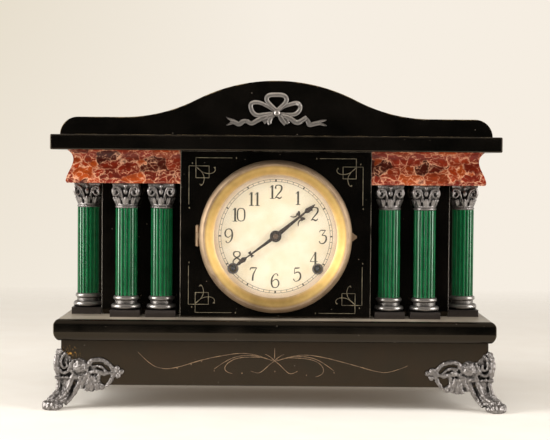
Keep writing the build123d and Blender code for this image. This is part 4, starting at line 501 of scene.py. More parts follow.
# %% Boards with soft arrises
def softened(cad_name, arris_mm, steps=3, edge_angle=20):
    """A copy of a CAD board, merged into whole faces and rounded along its arrises."""
    board = placed(cad_name + "_board", nodes[cad_name].data.copy())
    hold(board)
    bpy.ops.mesh.customdata_custom_splitnormals_clear()
    close_up(board, 0.02)
    bpy.ops.object.mode_set(mode="EDIT")
    bpy.ops.mesh.select_all(action="SELECT")
    bpy.ops.mesh.dissolve_limited(angle_limit=math.radians(0.6))
    bpy.ops.object.mode_set(mode="OBJECT")
    shape_with(
        board,
        "BEVEL",
        width=arris_mm * MM,
        segments=steps,
        limit_method="ANGLE",
        angle_limit=math.radians(edge_angle),
    )
    smooth(board, edge_angle)
    shape_with(board, "WEIGHTED_NORMAL", weight=100, keep_sharp=True)
    return board


BOARD_FINISH = {
    "base_box": (base_lacquer, 0.5),
    "base_slab": (slab_lacquer, 1.2),
    "front_board": (plain_lacquer, 0.4),
    "dial_panel": (case_lacquer, 0.5),
    "case_side_left": (side_lacquer, 0.5),
    "case_side_right": (side_lacquer, 0.5),
    "top_slab": (cornice_lacquer, 0.7),
    "pediment": (worn_lacquer, 0.8),
    "frieze_left": (marble, 0.4),
    "frieze_right": (marble, 0.4),
}
for cad_name, (finish, arris_mm) in BOARD_FINISH.items():
    seat(softened(cad_name, arris_mm), finish, slot_of_node[cad_name], "case", cad_name)

# %% [markdown]
# ## Drawing a line in metal or paint
# Numerals, bronze lines, scrolls and tendons are all lines that swell and thin. A NURBS curve with a round
# bevel is made for that: each control point has its own radius. Several lines go into one curve, which then
# becomes a mesh.


# %% Lines of swelling width
CLOSED = True


def nurbs_line(curve, points, unit=MM, closed=False):
    """A NURBS line in a curve, led by points in this unit."""
    line = curve.splines.new("NURBS")
    line.points.add(len(points) - 1)
    for spot, place_in_unit in zip(line.points, points):
        spot.co = (*[c * unit for c in place_in_unit], 1.0)
    line.use_cyclic_u = closed
    line.use_endpoint_u = not closed
    line.order_u = min(3, len(points))
    return line


def rods(name, lines, sides=3, steps=8):
    """Round rods along NURBS lines; each is its points and radii in mm, and the word CLOSED if it closes."""
    curve = bpy.data.curves.new(name, "CURVE")
    curve.dimensions = "3D"
    curve.bevel_depth = MM
    curve.bevel_resolution = sides
    curve.resolution_u = steps
    curve.use_fill_caps = True
    for points, radii, *closed in lines:
        nurbs_line(curve, points, MM, CLOSED in closed).points.foreach_set("radius", radii)
    piece = placed(name, curve)
    hold(piece)
    bpy.ops.object.convert(target="MESH")
    return bpy.context.object


def pressed_flat(piece, y_mm, share):
    """Flattens a drawing towards the face it lies on, in the plane at this y."""
    flatten = Matrix.Translation((0, y_mm * MM, 0)) @ Matrix.Diagonal((1, share, 1, 1))
    piece.data.transform(flatten @ Matrix.Translation((0, -y_mm * MM, 0)))
    close_up(piece, 0.002)
    smooth(piece, 60)
    return piece


# %% [markdown]
# ## Figures and minute track
# The dial is printed with thin upright figures in the old style, thick down and thin across as a pen writes
# them. Each figure is drawn once in a box one unit high and copied to its hour, where it is slid out until
# its outer corner meets one common circle, as a dial painter fills the ring. The minute track is two fine
# circles with a stroke for each minute and a dot at each hour.

# %% Figures drawn as pen strokes
THICK = 0.072
THIN = 0.030
MID = 0.052
FIGURES = {
    "0": [([(0.3, 1), (0.05, 0.9), (0.02, 0.5), (0.05, 0.1), (0.3, 0), (0.55, 0.1), (0.58, 0.5), (0.55, 0.9)],
           [THIN, MID, THICK, MID, THIN, MID, THICK, MID], CLOSED)],
    "1": [([(0.3, 0), (0.3, 0.5), (0.3, 1)], [THICK, THICK, THICK]),
          ([(0.3, 0.98), (0.22, 0.88), (0.12, 0.83)], [MID, THIN, THIN]),
          ([(0.13, 0.01), (0.3, 0.02), (0.47, 0.01)], [THIN, THIN, THIN])],
    "2": [([(0.1, 0.74), (0.08, 0.98), (0.34, 1.03), (0.57, 0.93), (0.54, 0.62), (0.3, 0.36), (0.05, 0.03)],
           [THICK, MID, THIN, THICK, THICK, MID, THIN]),
          ([(0.05, 0.04), (0.22, 0.16), (0.4, -0.04), (0.56, 0.16)], [THIN, MID, THICK, THIN])],
    "3": [([(0.09, 0.82), (0.1, 0.98), (0.3, 0.97), (0.53, 0.97)], [THIN, THIN, MID, THIN]),
          ([(0.53, 0.97), (0.4, 0.78), (0.25, 0.6)], [THIN, THIN, THIN]),
          ([(0.25, 0.59), (0.56, 0.64), (0.6, 0.24), (0.4, -0.02), (0.12, -0.02), (0.06, 0.16)],
           [THIN, MID, THICK, MID, THIN, MID])],
    "4": [([(0.42, 0), (0.42, 0.5), (0.42, 1)], [THICK, THICK, THICK]),
          ([(0.42, 0.98), (0.22, 0.64), (0.02, 0.29)], [THIN, THIN, THIN]),
          ([(0.02, 0.29), (0.3, 0.29), (0.6, 0.29)], [THIN, THIN, THIN])],
    "5": [([(0.16, 0.96), (0.34, 0.94), (0.53, 0.99)], [MID, THICK, THIN]),
          ([(0.16, 0.96), (0.14, 0.75), (0.12, 0.53)], [THIN, THIN, THIN]),
          ([(0.12, 0.54), (0.34, 0.72), (0.6, 0.54), (0.58, 0.16), (0.34, -0.04), (0.1, 0.0), (0.07, 0.16)],
           [THIN, MID, THICK, THICK, THIN, THIN, MID])],
    "6": [([(0.5, 0.86), (0.48, 1.03), (0.24, 1.0), (0.05, 0.68), (0.02, 0.3), (0.12, -0.02), (0.46, -0.02),
            (0.6, 0.28), (0.5, 0.58), (0.24, 0.62), (0.08, 0.4)],
           [MID, THIN, THIN, THICK, THICK, MID, THIN, THICK, MID, THIN, THIN])],
    "7": [([(0.07, 0.78), (0.08, 0.97), (0.32, 0.96), (0.56, 0.97)], [THIN, MID, THICK, THIN]),
          ([(0.56, 0.97), (0.36, 0.62), (0.26, 0.3), (0.26, 0.0)], [THIN, MID, THICK, THICK])],
    "8": [([(0.3, 0.54), (0.06, 0.68), (0.06, 0.95), (0.3, 1.02), (0.54, 0.95), (0.54, 0.68), (0.3, 0.54),
            (0.03, 0.36), (0.02, 0.06), (0.3, -0.03), (0.58, 0.06), (0.57, 0.36)],
           [MID, MID, THICK, THIN, MID, MID, THICK, MID, MID, THIN, THICK, THICK], CLOSED)],
}
FIGURES["9"] = [([(0.6 - x, 1 - z) for x, z in points], radii) for points, radii in FIGURES["6"]]
FIGURE_HEIGHT = 13.2
FIGURE_ADVANCE = 0.44
FIGURE_REACH = 50.3
INK_SPREAD = 1.02
DIAL_FACE_Y = box_mm("dial")[0][1]
DIAL_Z = DIAL_CENTRE.z / MM
print("dial face at y", round(DIAL_FACE_Y, 2), "mm")

# %% Print the dial
TRACK_OUTER = 55.9
TRACK_INNER = 53.6
TRACK_LINE = 0.24
HOUR_STROKE = 3.2 * TRACK_LINE
RING_LINE = 0.8 * TRACK_LINE
RING_STEPS = 48
printed = []
for hour in range(1, 13):
    strokes = []
    for place_in_hour, figure in enumerate(str(hour)):
        for points, radii, *closed in FIGURES[figure]:
            spots = [(x + place_in_hour * FIGURE_ADVANCE, z - 0.5) for x, z in points]
            strokes.append((spots, radii, *closed))
    edges = [x for stroke in strokes for x, z in stroke[0]]
    middle = (min(edges) + max(edges)) / 2
    half_wide = FIGURE_HEIGHT * (max(edges) - min(edges)) / 2
    half_tall = FIGURE_HEIGHT / 2
    turn = math.radians(30 * hour)
    lean = abs(math.sin(turn)) * half_wide + abs(math.cos(turn)) * half_tall
    from_centre = math.sqrt(lean**2 + FIGURE_REACH**2 - half_wide**2 - half_tall**2) - lean
    hour_x = from_centre * math.sin(turn) - FIGURE_HEIGHT * middle
    hour_z = from_centre * math.cos(turn) + DIAL_Z
    for spots, radii, *closed in strokes:
        inked = [(hour_x + FIGURE_HEIGHT * x, DIAL_FACE_Y, hour_z + FIGURE_HEIGHT * z) for x, z in spots]
        printed.append((inked, [FIGURE_HEIGHT * INK_SPREAD * r for r in radii], *closed))
for minute in range(60):
    turn = math.radians(6 * minute)
    reach = [TRACK_INNER, (TRACK_INNER + TRACK_OUTER) / 2, TRACK_OUTER]
    spots = [(r * math.sin(turn), DIAL_FACE_Y, DIAL_Z + r * math.cos(turn)) for r in reach]
    printed.append((spots, [TRACK_LINE if minute % 5 else HOUR_STROKE] * 3))
for track_radius in (TRACK_INNER, TRACK_OUTER):
    ring = []
    for step in range(RING_STEPS):
        turn = 2 * math.pi * step / RING_STEPS
        ring.append((track_radius * math.sin(turn), DIAL_FACE_Y, DIAL_Z + track_radius * math.cos(turn)))
    printed.append((ring, [RING_LINE] * RING_STEPS, CLOSED))
dial_print = pressed_flat(rods("dial_printing", printed, sides=1, steps=4), DIAL_FACE_Y, 0.12)
seat(dial_print, ink, "dial_enamel", "case")

# %% [markdown]
# ## Barbs of the hour hand
# The hour hand was stamped with two barbs at its cross, which sweep back towards the middle like the flukes
# of an anchor. They are drawn along the hand and across it, and turned to where the hand points.

# %% Hour hand barbs
HOUR_TURN = math.radians(50.6)
HAND_LOW, HAND_HIGH = box_mm("hour_hand")
HAND_Y = (HAND_LOW[1] + HAND_HIGH[1]) / 2
BARB = [(30.6, 0.4), (32.6, 3.2), (33.2, 5.0), (30.6, 3.2), (27.4, 2.7), (24.9, 3.9), (23.6, 6.2)]
BARB_RADII = [0.7, 0.8, 0.75, 0.7, 0.6, 0.5, 0.35]
barbs = []
for side in (-1, 1):
    spots = []
    for along, across in BARB:
        x = along * math.sin(HOUR_TURN) - side * across * math.cos(HOUR_TURN)
        z = DIAL_Z + along * math.cos(HOUR_TURN) + side * across * math.sin(HOUR_TURN)
        spots.append((x, HAND_Y, z))
    barbs.append((spots, BARB_RADII))
hand_barbs = pressed_flat(rods("hour_hand_barbs", barbs, sides=3, steps=6), HAND_Y, 0.4)
seat(hand_barbs, browned_steel, "browned_steel", "hour")

# %% [markdown]
# ## Incised lines on the panel
# Each corner of the dial panel has the same little device: two long lines that cross in an open square, and
# a sprout inside it. It is drawn once, from the panel's corner, and turned over for the other three.

# %% Panel gilding
PANEL_LOW, PANEL_HIGH = box_mm("dial_panel")
PANEL_Y = PANEL_LOW[1]
LINE = 0.26
CORNER_LINES = [
    [(50.7, 6.8), (33, 6.8), (15.1, 6.8)],
    [(15.1, 6.8), (15.1, 16), (15.1, 26.4)],
    [(15.1, 26.4), (22, 26.4), (28, 26.4)],
    [(28, 26.4), (28, 20), (28, 14.8)],
    [(28, 14.8), (18, 14.8), (8.4, 14.8)],
    [(8.4, 14.8), (8.4, 34), (8.4, 52.6)],
    [(15.1, 15.5), (20, 20.5), (27, 22.6), (33, 21.4), (34.6, 17.4), (32.6, 15.9)],
    [(15.1, 15.5), (20.5, 19.5), (23.6, 26), (22.6, 32), (20, 34.4), (19, 32.4)],
]
CORNER_DOTS = [(54.2, 6.8), (8.4, 55.8), (11.2, 12.2), (33.4, 16.4), (20.2, 33.4)]
DOT = 0.72
DOT_LONG = 0.9
BOTTOM_DROP = 1.7
gilt = []
for side in (-1, 1):
    for level in (-1, 1):
        edge_x = PANEL_HIGH[0] * side
        edge_z = PANEL_HIGH[2] if level > 0 else PANEL_LOW[2] - BOTTOM_DROP
        for points in CORNER_LINES:
            spots = [(edge_x - side * dx, PANEL_Y, edge_z - level * dz) for dx, dz in points]
            gilt.append((spots, [LINE] * len(spots)))
        for dx, dz in CORNER_DOTS:
            spot = (edge_x - side * dx, PANEL_Y, edge_z - level * dz)
            gilt.append(([spot, (spot[0] + DOT_LONG, spot[1], spot[2])], [DOT, DOT]))
panel_lines = pressed_flat(rods("panel_gilding", gilt, sides=2, steps=6), PANEL_Y, 0.2)
seat(panel_lines, panel_bronze, "black_lacquer", "case")

# %% [markdown]
# ## Incised scroll on the base
# The base has one long flourish: two S curves spring from the middle, with smaller curves and dots beside
# them. The left and right halves were cut by hand and differ a little, so each has its own points.

# %% Base gilding
BASE_LOW, BASE_HIGH = box_mm("base_box")
BASE_Y = BASE_LOW[1]
BASE_LINES = [
    [(0, 47.1), (-14, 52.5), (-30.7, 55.6), (-52, 52.4), (-71.5, 48), (-94.7, 40.4), (-108, 38.6),
     (-121.6, 43.4), (-132.7, 55.4)],
    [(0, 47.1), (14, 52.0), (31, 54.2), (50, 51), (62, 48), (81, 43.0), (98, 38.0), (112, 36.4), (129, 43.7)],
    [(0, 47.1), (-12, 51.5), (-29, 53.6), (-46, 49), (-58.6, 39.3)],
    [(0, 47.1), (12, 51.2), (29, 52.6), (45, 48.4), (57.8, 38.3)],
    [(-14, 51), (-33, 52), (-47.4, 45), (-49, 36.6), (-41, 35)],
    [(14, 50.6), (33, 51), (47, 44), (48, 34.2), (40, 32.5)],
    [(3, 49.6), (-3.5, 45.6), (-10, 39), (-16, 34.6), (-23.3, 37.8)],
    [(-3, 49.6), (3.5, 45.6), (10, 38.6), (16, 33.8), (22.2, 37.8)],
    [(0, 60), (0, 55), (0, 50)],
    [(0, 48.2), (5, 52.6), (9, 54)],
    [(0, 48.2), (-5, 52.6), (-9, 54)],
]
BASE_DOTS = [
    (-58.6, 37.6), (57.8, 36.6), (-31.6, 35.4), (31, 34),
    (0.3, 37.4), (-94.7, 39.8), (-81, 43.6), (-71, 46.6),
]
BASE_LINE = 0.28
BASE_DOT = 0.62
flourish = []
for points in BASE_LINES:
    count = len(points)
    swell = [BASE_LINE * (0.55 + 0.75 * math.sin(math.pi * (i + 0.5) / count)) for i in range(count)]
    flourish.append(([(x, BASE_Y, z) for x, z in points], swell))
for x, z in BASE_DOTS:
    flourish.append(([(x - 0.4, BASE_Y, z), (x + 0.4, BASE_Y, z)], [BASE_DOT, BASE_DOT]))
base_lines = pressed_flat(rods("base_gilding", flourish, sides=2, steps=10), BASE_Y, 0.2)
seat(base_lines, base_bronze, "black_lacquer", "case")

# %% [markdown]
# ## Building up a casting
# A cast foot or capital was first modelled in wax: rods, balls and leaves pressed together and smoothed.
# The same is done here: parts are joined, a voxel Remesh melts them into one skin, and a light smoothing
# rounds the joints. The result is closed, so it has an inside and an outside like the real casting.


# %% Wax parts
def ball(place_mm, radius_mm, squash=(1, 1, 1)):
    """A ball of wax, which may be squashed along X, Y and Z."""
    bpy.ops.object.select_all(action="DESELECT")
    bpy.ops.mesh.primitive_uv_sphere_add(
        segments=24, ring_count=12, radius=radius_mm * MM, location=[c * MM for c in place_mm]
    )
    bpy.context.object.scale = squash
    bpy.ops.object.transform_apply(location=True, rotation=False, scale=True)
    return bpy.context.object


def slab(low_mm, high_mm):
    """A rectangular slab between two corners."""
    bpy.ops.object.select_all(action="DESELECT")
    bpy.ops.mesh.primitive_cube_add(size=1, location=[(a + b) / 2 * MM for a, b in zip(low_mm, high_mm)])
    bpy.context.object.scale = [(b - a) * MM for a, b in zip(low_mm, high_mm)]
    bpy.ops.object.transform_apply(location=True, rotation=False, scale=True)
    return bpy.context.object


def sheet_of_wax(name, outline_mm, y_low, y_high):
    """A flat sheet cut to an outline in X and Z, with its thickness along Y."""
    mesh = bpy.data.meshes.new(name)
    corners = [(x * MM, y_low * MM, z * MM) for x, z in outline_mm]
    mesh.from_pydata(corners, [], [list(range(len(corners)))])
    sheet = placed(name, mesh)
    hold(sheet)
    bpy.ops.object.mode_set(mode="EDIT")
    bpy.ops.mesh.select_all(action="SELECT")
    bpy.ops.mesh.extrude_region_move(TRANSFORM_OT_translate={"value": (0, (y_high - y_low) * MM, 0)})
    bpy.ops.mesh.select_all(action="SELECT")
    bpy.ops.mesh.normals_make_consistent(inside=False)
    bpy.ops.object.mode_set(mode="OBJECT")
    return sheet


def turned(name, profile_mm, steps=64):
    """A profile of radius and height, spun round the Z axis."""
    mesh = bpy.data.meshes.new(name)
    links = [(i, i + 1) for i in range(len(profile_mm) - 1)]
    mesh.from_pydata([(r * MM, 0, z * MM) for r, z in profile_mm], links, [])
    piece = placed(name, mesh)
    hold(piece)
    bpy.ops.object.mode_set(mode="EDIT")
    bpy.ops.mesh.select_all(action="SELECT")
    bpy.ops.mesh.spin(steps=steps, angle=2 * math.pi, center=(0, 0, 0), axis=(0, 0, 1))
    bpy.ops.object.mode_set(mode="OBJECT")
    close_up(piece, 0.005)
    return piece


def cast(name, parts, voxel_mm, rounds):
    """Melts the parts into one smooth skin."""
    piece = join(name, parts)
    shape_with(piece, "REMESH", mode="VOXEL", voxel_size=voxel_mm * MM)
    shape_with(piece, "SMOOTH", factor=0.5, iterations=rounds)
    return piece


def copied(piece, name, matrix):
    """A copy with its own mesh, moved by a matrix."""
    copy = placed(name, piece.data.copy())
    copy.data.transform(matrix)
    return copy


# %% [markdown]
# ## The feet
# Each foot is a lion's paw under a corner: a leaf wraps the corner, a bright ball sits on each face, a
# pierced acanthus scroll runs along the base, and the leg steps out to four toes. It is modelled once with
# the corner of the base at the origin, the front face along X, and then mirrored over to the other face. At
# last a cloud pattern pushes the skin in and out a little, which stands for the leafy chasing all over the
# real casting.

# %% One foot in wax
BASE_FOOT_Z = BASE_LOW[2]
FACE_SCROLLS = [
    (-1.6, [(24, 37), (27.6, 45.6), (35, 48.2), (43, 46.4), (49.5, 41), (51.5, 34.5), (49, 27), (44, 21.6)],
     [2.8, 2.6, 2.3, 2.2, 2.1, 2.0, 2.0, 1.6]),
    (-2.2, [(26, 33.6), (33, 37.6), (38, 36), (42, 33.6), (47, 35.4), (51, 34)],
     [2.2, 2.4, 2.2, 2.0, 1.8, 1.4]),
    (-2.0, [(30, 40.4), (36, 42.2), (41, 40.2), (44, 36.4)], [1.5, 1.6, 1.5, 1.3]),
    (-1.6, [(38.4, 35), (35.6, 29), (37, 23.6), (43, 21.4)], [2.0, 2.2, 2.2, 1.8]),
    (-1.6, [(49, 35), (55, 36), (61.4, 36.2)], [2.2, 2.0, 1.3]),
    (-1.6, [(29, 32), (27, 24), (24.6, 17.4)], [3.0, 2.6, 2.2]),
    (-1.6, [(30, 32), (30.4, 24), (30.2, 16.8)], [3.0, 2.6, 2.2]),
    (-1.6, [(31, 32), (34.4, 25), (35.6, 18)], [3.0, 2.6, 2.2]),
    (-1.8, [(26, 33), (22, 26), (19.6, 20)], [3.0, 2.4, 1.8]),
    (-2.6, [(10, 32), (15, 30.4), (21, 31.6), (27, 34)], [2.2, 2.2, 2.0, 1.6]),
    (-3.0, [(12.4, 47.6), (9.6, 41), (11, 35), (16, 31.2)], [1.0, 1.7, 1.7, 1.0]),
    (-3.0, [(1.6, 56.8), (-3.2, 51), (-3.8, 43), (-1, 36.6), (4.6, 34.2), (9.2, 38), (9.4, 45)],
     [1.5, 1.9, 1.9, 1.9, 1.8, 1.6, 1.0]),
    (-3.4, [(4.4, 54.6), (0.2, 49), (0.4, 42), (4.2, 39), (6.6, 42), (5.6, 46)],
     [1.2, 1.5, 1.5, 1.4, 1.2, 0.8]),
]
WEB = [
    (-1, 36), (0, 52), (4, 56), (10, 48), (22, 48), (28, 44), (36, 38),
    (37, 33), (35, 24), (33, 18), (25, 17), (19, 21), (13, 27), (3, 29),
]
FACE_BALLS = [
    ((18.6, 2.6, 40.5), 8.9),
    ((33.6, -2.8, 36.4), 2.9),
    ((38.6, -2.4, 41.2), 1.8),
    ((54.6, -1.8, 39.4), 2.7, (1, 0.9, 1)),
    ((58.8, -1.8, 36.6), 2.7, (1, 0.9, 1)),
    ((55.4, -1.8, 32.2), 2.6, (1, 0.9, 1)),
    ((29.5, -0.4, 25), 7.4, (1.05, 0.36, 1.05)),
    ((39.6, -1.6, 20.4), 2.2),
]
arm_lines = [([(u, y, z) for u, z in points], radii) for y, points, radii in FACE_SCROLLS]
arm_parts = [rods("scroll", arm_lines, sides=4, steps=6), sheet_of_wax("web", WEB, 0.6, -1.2)]
arm_parts += [ball(*row) for row in FACE_BALLS]
front_arm = join("front_arm", arm_parts)
OVER_THE_CORNER = Matrix(((0, 1, 0, 0), (1, 0, 0, 0), (0, 0, 1, 0), (0, 0, 0, 1)))
side_arm = copied(front_arm, "side_arm", OVER_THE_CORNER)
close_up(side_arm, 0.001)

# %% Leg, paw and corner leaf
leg_lines = [
    ([(5.5, 5.5, 30), (5.5, 5.5, 24), (4.5, 4.5, 17), (0.5, 0.5, 11), (-5, -5, 6.4)],
     [8.6, 8.2, 7.4, 6.8, 6.0]),
    ([(-1.4, -1.4, 29), (-2.0, -2.0, 20), (-5.4, -5.4, 13), (-10, -10, 9)], [2.2, 2.0, 2.2, 2.6]),
    ([(11, -2.0, 29), (8.4, -2.4, 20), (2, -6, 12.6), (-5, -11, 8.4)], [2.4, 2.2, 2.2, 2.4]),
    ([(-2.0, 11, 29), (-2.4, 8.4, 20), (-6, 2, 12.6), (-11, -5, 8.4)], [2.4, 2.2, 2.2, 2.4]),
    ([(20, -1.6, 30), (15.4, -1.2, 20), (11, 0.5, 12), (4, -3, 5)], [2.6, 2.6, 2.4, 2.6]),
    ([(-1.6, 20, 30), (-1.2, 15.4, 20), (0.5, 11, 12), (-3, 4, 5)], [2.6, 2.6, 2.4, 2.6]),
    ([(0.5, 0.5, 57.6), (-3.4, -3.4, 53), (-4.4, -4.4, 45), (-3.6, -3.6, 37), (-1.6, -1.6, 31)],
     [1.6, 2.2, 2.4, 2.4, 2.0]),
]
leg_parts = [rods("leg", leg_lines, sides=5, steps=6)]
PAW_HEEL = -5.6
TOE_REACH = 8.0
KNUCKLE_REACH = 4.4
for toe_turn in (-52, -18, 18, 52):
    heading = math.radians(225 + toe_turn)
    toe = [PAW_HEEL + TOE_REACH * math.cos(heading), PAW_HEEL + TOE_REACH * math.sin(heading)]
    leg_parts.append(ball((*toe, 3.9), 4.2, (1, 1, 1.05)))
    knuckle = [PAW_HEEL + KNUCKLE_REACH * math.cos(heading), PAW_HEEL + KNUCKLE_REACH * math.sin(heading)]
    leg_parts.append(ball((*knuckle, 6.6), 3.9))
BEAD_RADIUS = 1.9
BEAD_PITCH = 3.9
BEAD_Z = 30.4
for step in range(7):
    along = -5.2 + BEAD_PITCH * step
    u, v = (along, -3.2) if along > -3.2 else (-3.4, -3.4)
    leg_parts.append(ball((u, v, BEAD_Z), BEAD_RADIUS))
    leg_parts.append(ball((v, u, BEAD_Z), BEAD_RADIUS))
leg_parts.append(ball((PAW_HEEL, PAW_HEEL, 3), 8.6, (1, 1, 0.5)))
leg_parts.append(slab((0, 0, BASE_FOOT_Z - 4), (30, 30, BASE_FOOT_Z)))
foot = cast("foot_wax", [front_arm, side_arm, *leg_parts], 0.6, 1)
CHASING_SIZE = 2.6
CHASING_DEEP = 1.9
chasing = bpy.data.textures.new("leafy_chasing", "CLOUDS")
chasing.noise_scale = CHASING_SIZE * MM
shape_with(foot, "DISPLACE", texture=chasing, strength=CHASING_DEEP * MM, mid_level=0.5)
print("foot in wax", [round(c / MM, 1) for c in foot.dimensions])

# %% Trim the foot to the floor and the base
ROOM = 90
waste = [slab((-ROOM, -ROOM, -ROOM), (ROOM, ROOM, 0)), slab((0, 0, BASE_FOOT_Z), (ROOM, ROOM, ROOM))]
for tool in waste:
    shape_with(foot, "BOOLEAN", operation="DIFFERENCE", object=tool, solver="EXACT")
    bpy.data.objects.remove(tool)
smooth(foot, 50)
FOOT_TURNS = {"front_left": 0, "front_right": 90, "rear_right": 180, "rear_left": 270}
for corner, turn in FOOT_TURNS.items():
    corner_x = BASE_LOW[0] if "left" in corner else BASE_HIGH[0]
    corner_y = BASE_LOW[1] if "front" in corner else BASE_HIGH[1]
    step_out = Matrix.Translation((corner_x * MM, corner_y * MM, 0))
    piece = copied(foot, f"foot_{corner}_cast", step_out @ Matrix.Rotation(math.radians(turn), 4, "Z"))
    seat(piece, pewter, "cast_white_metal", "case", f"foot_{corner}")
bpy.data.objects.remove(foot)

# %% [markdown]
# ## The column bases
# Each shaft stands in turned rings on a square plinth, cast in the same metal. The finish is darkened below
# the top of the plinth, so the plinth is darker than the rings.

# %% Six column bases
PLINTH_TOP = 95.4
tree = ring_metal.node_tree
shader = tree.nodes["Principled BSDF"]
rubbed = shader.inputs["Base Color"].links[0].from_socket
height = node(tree, "SeparateXYZ", {0: node(tree, "TexCoord").outputs["Object"]}).outputs["Z"]
ring_reach = {"From Min": (PLINTH_TOP - 0.4) * MM, "From Max": PLINTH_TOP * MM}
ring = node(tree, "MapRange", {"Value": height, **ring_reach})
dark = node(tree, "MixRGB", {0: 1.0, 1: rubbed, 2: linear("#9a9492")}, blend_type="MULTIPLY")
both = node(tree, "MixRGB", {0: ring, 1: dark, 2: rubbed})
feed(shader, {"Base Color": both})
base_copy = softened("column_bases", 0.35, 2, 32)
seat(base_copy, ring_metal, "cast_white_metal", "case", "column_bases")

# %% [markdown]
# ## The capitals
# Six Corinthian capitals: a bell on a ringed neck, two rows of leaves, a scroll at each corner under a
# hollow-sided abacus, and a flower on each face. One is built in wax and copied to the six columns.

# %% One capital in wax
CAPITAL_LOW, CAPITAL_HIGH = box_mm("column_capitals")
CAPITAL_TALL = CAPITAL_HIGH[2] - CAPITAL_LOW[2]
CAPITAL_HALF = 14.1
CAPITAL_SLIM = 0.94
ABACUS_FOOT = 20.4
ABACUS_STEP = 22.4
ABACUS_HOLLOW = 2.4
BELL = [
    (0, 0.0), (10.7, 0.0), (11.9, 0.9), (11.9, 1.9), (10.5, 2.6), (11.5, 3.3), (11.5, 4.2),
    (9.6, 4.8), (9.4, 9), (9.8, 15), (11.0, ABACUS_FOOT), (11.0, 22), (0, 22),
]


def around(turn, out_mm, sideways_mm, z_mm):
    """A point so far out from the axis in a heading, and so far sideways."""
    return (
        out_mm * math.cos(turn) - sideways_mm * math.sin(turn),
        out_mm * math.sin(turn) + sideways_mm * math.cos(turn),
        z_mm,
    )


bell = turned("bell", BELL)
hollowed = []
for quarter in range(4):
    heading = math.radians(90 * quarter)
    for share in (-0.96, -0.86, -0.5, 0.0, 0.5, 0.86):
        inward = CAPITAL_HALF - ABACUS_HOLLOW * (1 - share**2)
        hollowed.append(around(heading, inward, share * CAPITAL_HALF, 0)[:2])


def abacus_tier(name, share, z_low, z_high):
    """One tier of the hollow-sided top plate."""
    tier = sheet_of_wax(name, [(x * share, y * share) for x, y in hollowed], 0, z_high - z_low)
    tier.data.transform(Matrix(((1, 0, 0, 0), (0, 0, 1, 0), (0, 1, 0, z_low * MM), (0, 0, 0, 1))))
    close_up(tier, 0.001)
    return tier


# %% Leaves, scrolls and flowers
LEAF_SIDE = [(10.0, 4.4), (11.0, 7.0), (11.8, 9.4), (13.4, 10.6), (13.4, 9.0)]
TALL_LEAF = [(9.6, 8.0), (10.6, 12.0), (11.4, 14.4), (12.8, 15.2)]
SCROLL = [
    (2.6, 10.4), (4.4, 15.0), (5.6, 19.6), (9.6, 21.4), (13.4, 19.4), (13.6, 15.0), (10.4, 12.2),
    (6.8, 13.8), (6.8, 17.4), (9.4, 18.8), (11.2, 17.0), (10.2, 15.2),
]
SCROLL_RADII = [0.9, 1.1, 1.2, 1.25, 1.2, 1.15, 1.1, 1.0, 0.9, 0.85, 0.8, 0.7]
SCROLL_OUT = 12.6
SCROLL_ROOT_OUT = 10.4
leaf_lines = []
for leaf in range(8):
    turn = math.radians(45 * leaf)
    leaf_lines.append(([around(turn, r, 0, z) for r, z in LEAF_SIDE], [1.8, 2.1, 2.0, 1.4, 0.8]))
    for side in (-1, 1):
        edge = [around(turn, r - 0.3, side * (2.0 + 0.2 * i), z) for i, (r, z) in enumerate(LEAF_SIDE[:4])]
        leaf_lines.append((edge, [1.0, 1.3, 1.1, 0.6]))
    turn += math.radians(22.5)
    leaf_lines.append(([around(turn, r, 0, z) for r, z in TALL_LEAF], [1.4, 1.6, 1.4, 0.9]))
for quarter in range(4):
    turn = math.radians(90 * quarter)
    for side in (-1, 1):
        scroll = [around(turn, SCROLL_OUT, side * s, z) for s, z in SCROLL]
        scroll[0] = around(turn, SCROLL_ROOT_OUT, side * SCROLL[0][0], SCROLL[0][1])
        leaf_lines.append((scroll, SCROLL_RADII))
capital_parts = [
    bell,
    abacus_tier("abacus_lower", 0.94, ABACUS_FOOT, ABACUS_STEP),
    abacus_tier("abacus_upper", 1.0, ABACUS_STEP, CAPITAL_TALL),
    rods("leaves", leaf_lines, sides=3, steps=5),
]
for quarter in range(4):
    heading = math.radians(90 * quarter)
    capital_parts.append(ball(around(heading, 11.9, 0, 21.8), 2.1))
    capital_parts.append(ball(around(heading, 11.2, 0, 16.4), 2.6, (1, 1, 1.25)))
capital = cast("capital_wax", capital_parts, 0.42, 1)
capital.data.transform(Matrix.Diagonal((CAPITAL_SLIM, CAPITAL_SLIM, 1, 1)))
smooth(capital, 60)
print("capital in wax", [round(c / MM, 1) for c in capital.dimensions])

# %% Six capitals
COLUMN_PLACES = [(112.4, -47.75), (147.3, -47.75), (188.25, -19.75)]
places = [(side * x, y) for side in (-1, 1) for x, y in COLUMN_PLACES]
for number, (x, y) in enumerate(places, 1):
    piece = copied(capital, f"capital_{number}", Matrix.Translation((x * MM, y * MM, CAPITAL_LOW[2] * MM)))
    seat(piece, pewter, "cast_white_metal", "case", "column_capitals")
bpy.data.objects.remove(capital)

# %% [markdown]
# ## The ribbon bow
# The bow on the pediment is a flat casting of a tied ribbon: three loops, a knot and two tails that twist
# and end in a swallow's tail. Each stretch of ribbon is a band that follows a smooth line: a grid of points
# whose cross-section is hollow in the middle and raised along both edges.

# %% Bands of ribbon
BOW_BACK_Y = box_mm("ribbon_ornament")[1][1]
BAND_LEFT = [(-1.0, 0.0), (-1.0, 0.55), (-0.86, 1.0), (-0.62, 0.86), (-0.2, 0.62)]
BAND_SECTION = BAND_LEFT + [(-across, high) for across, high in reversed(BAND_LEFT)]


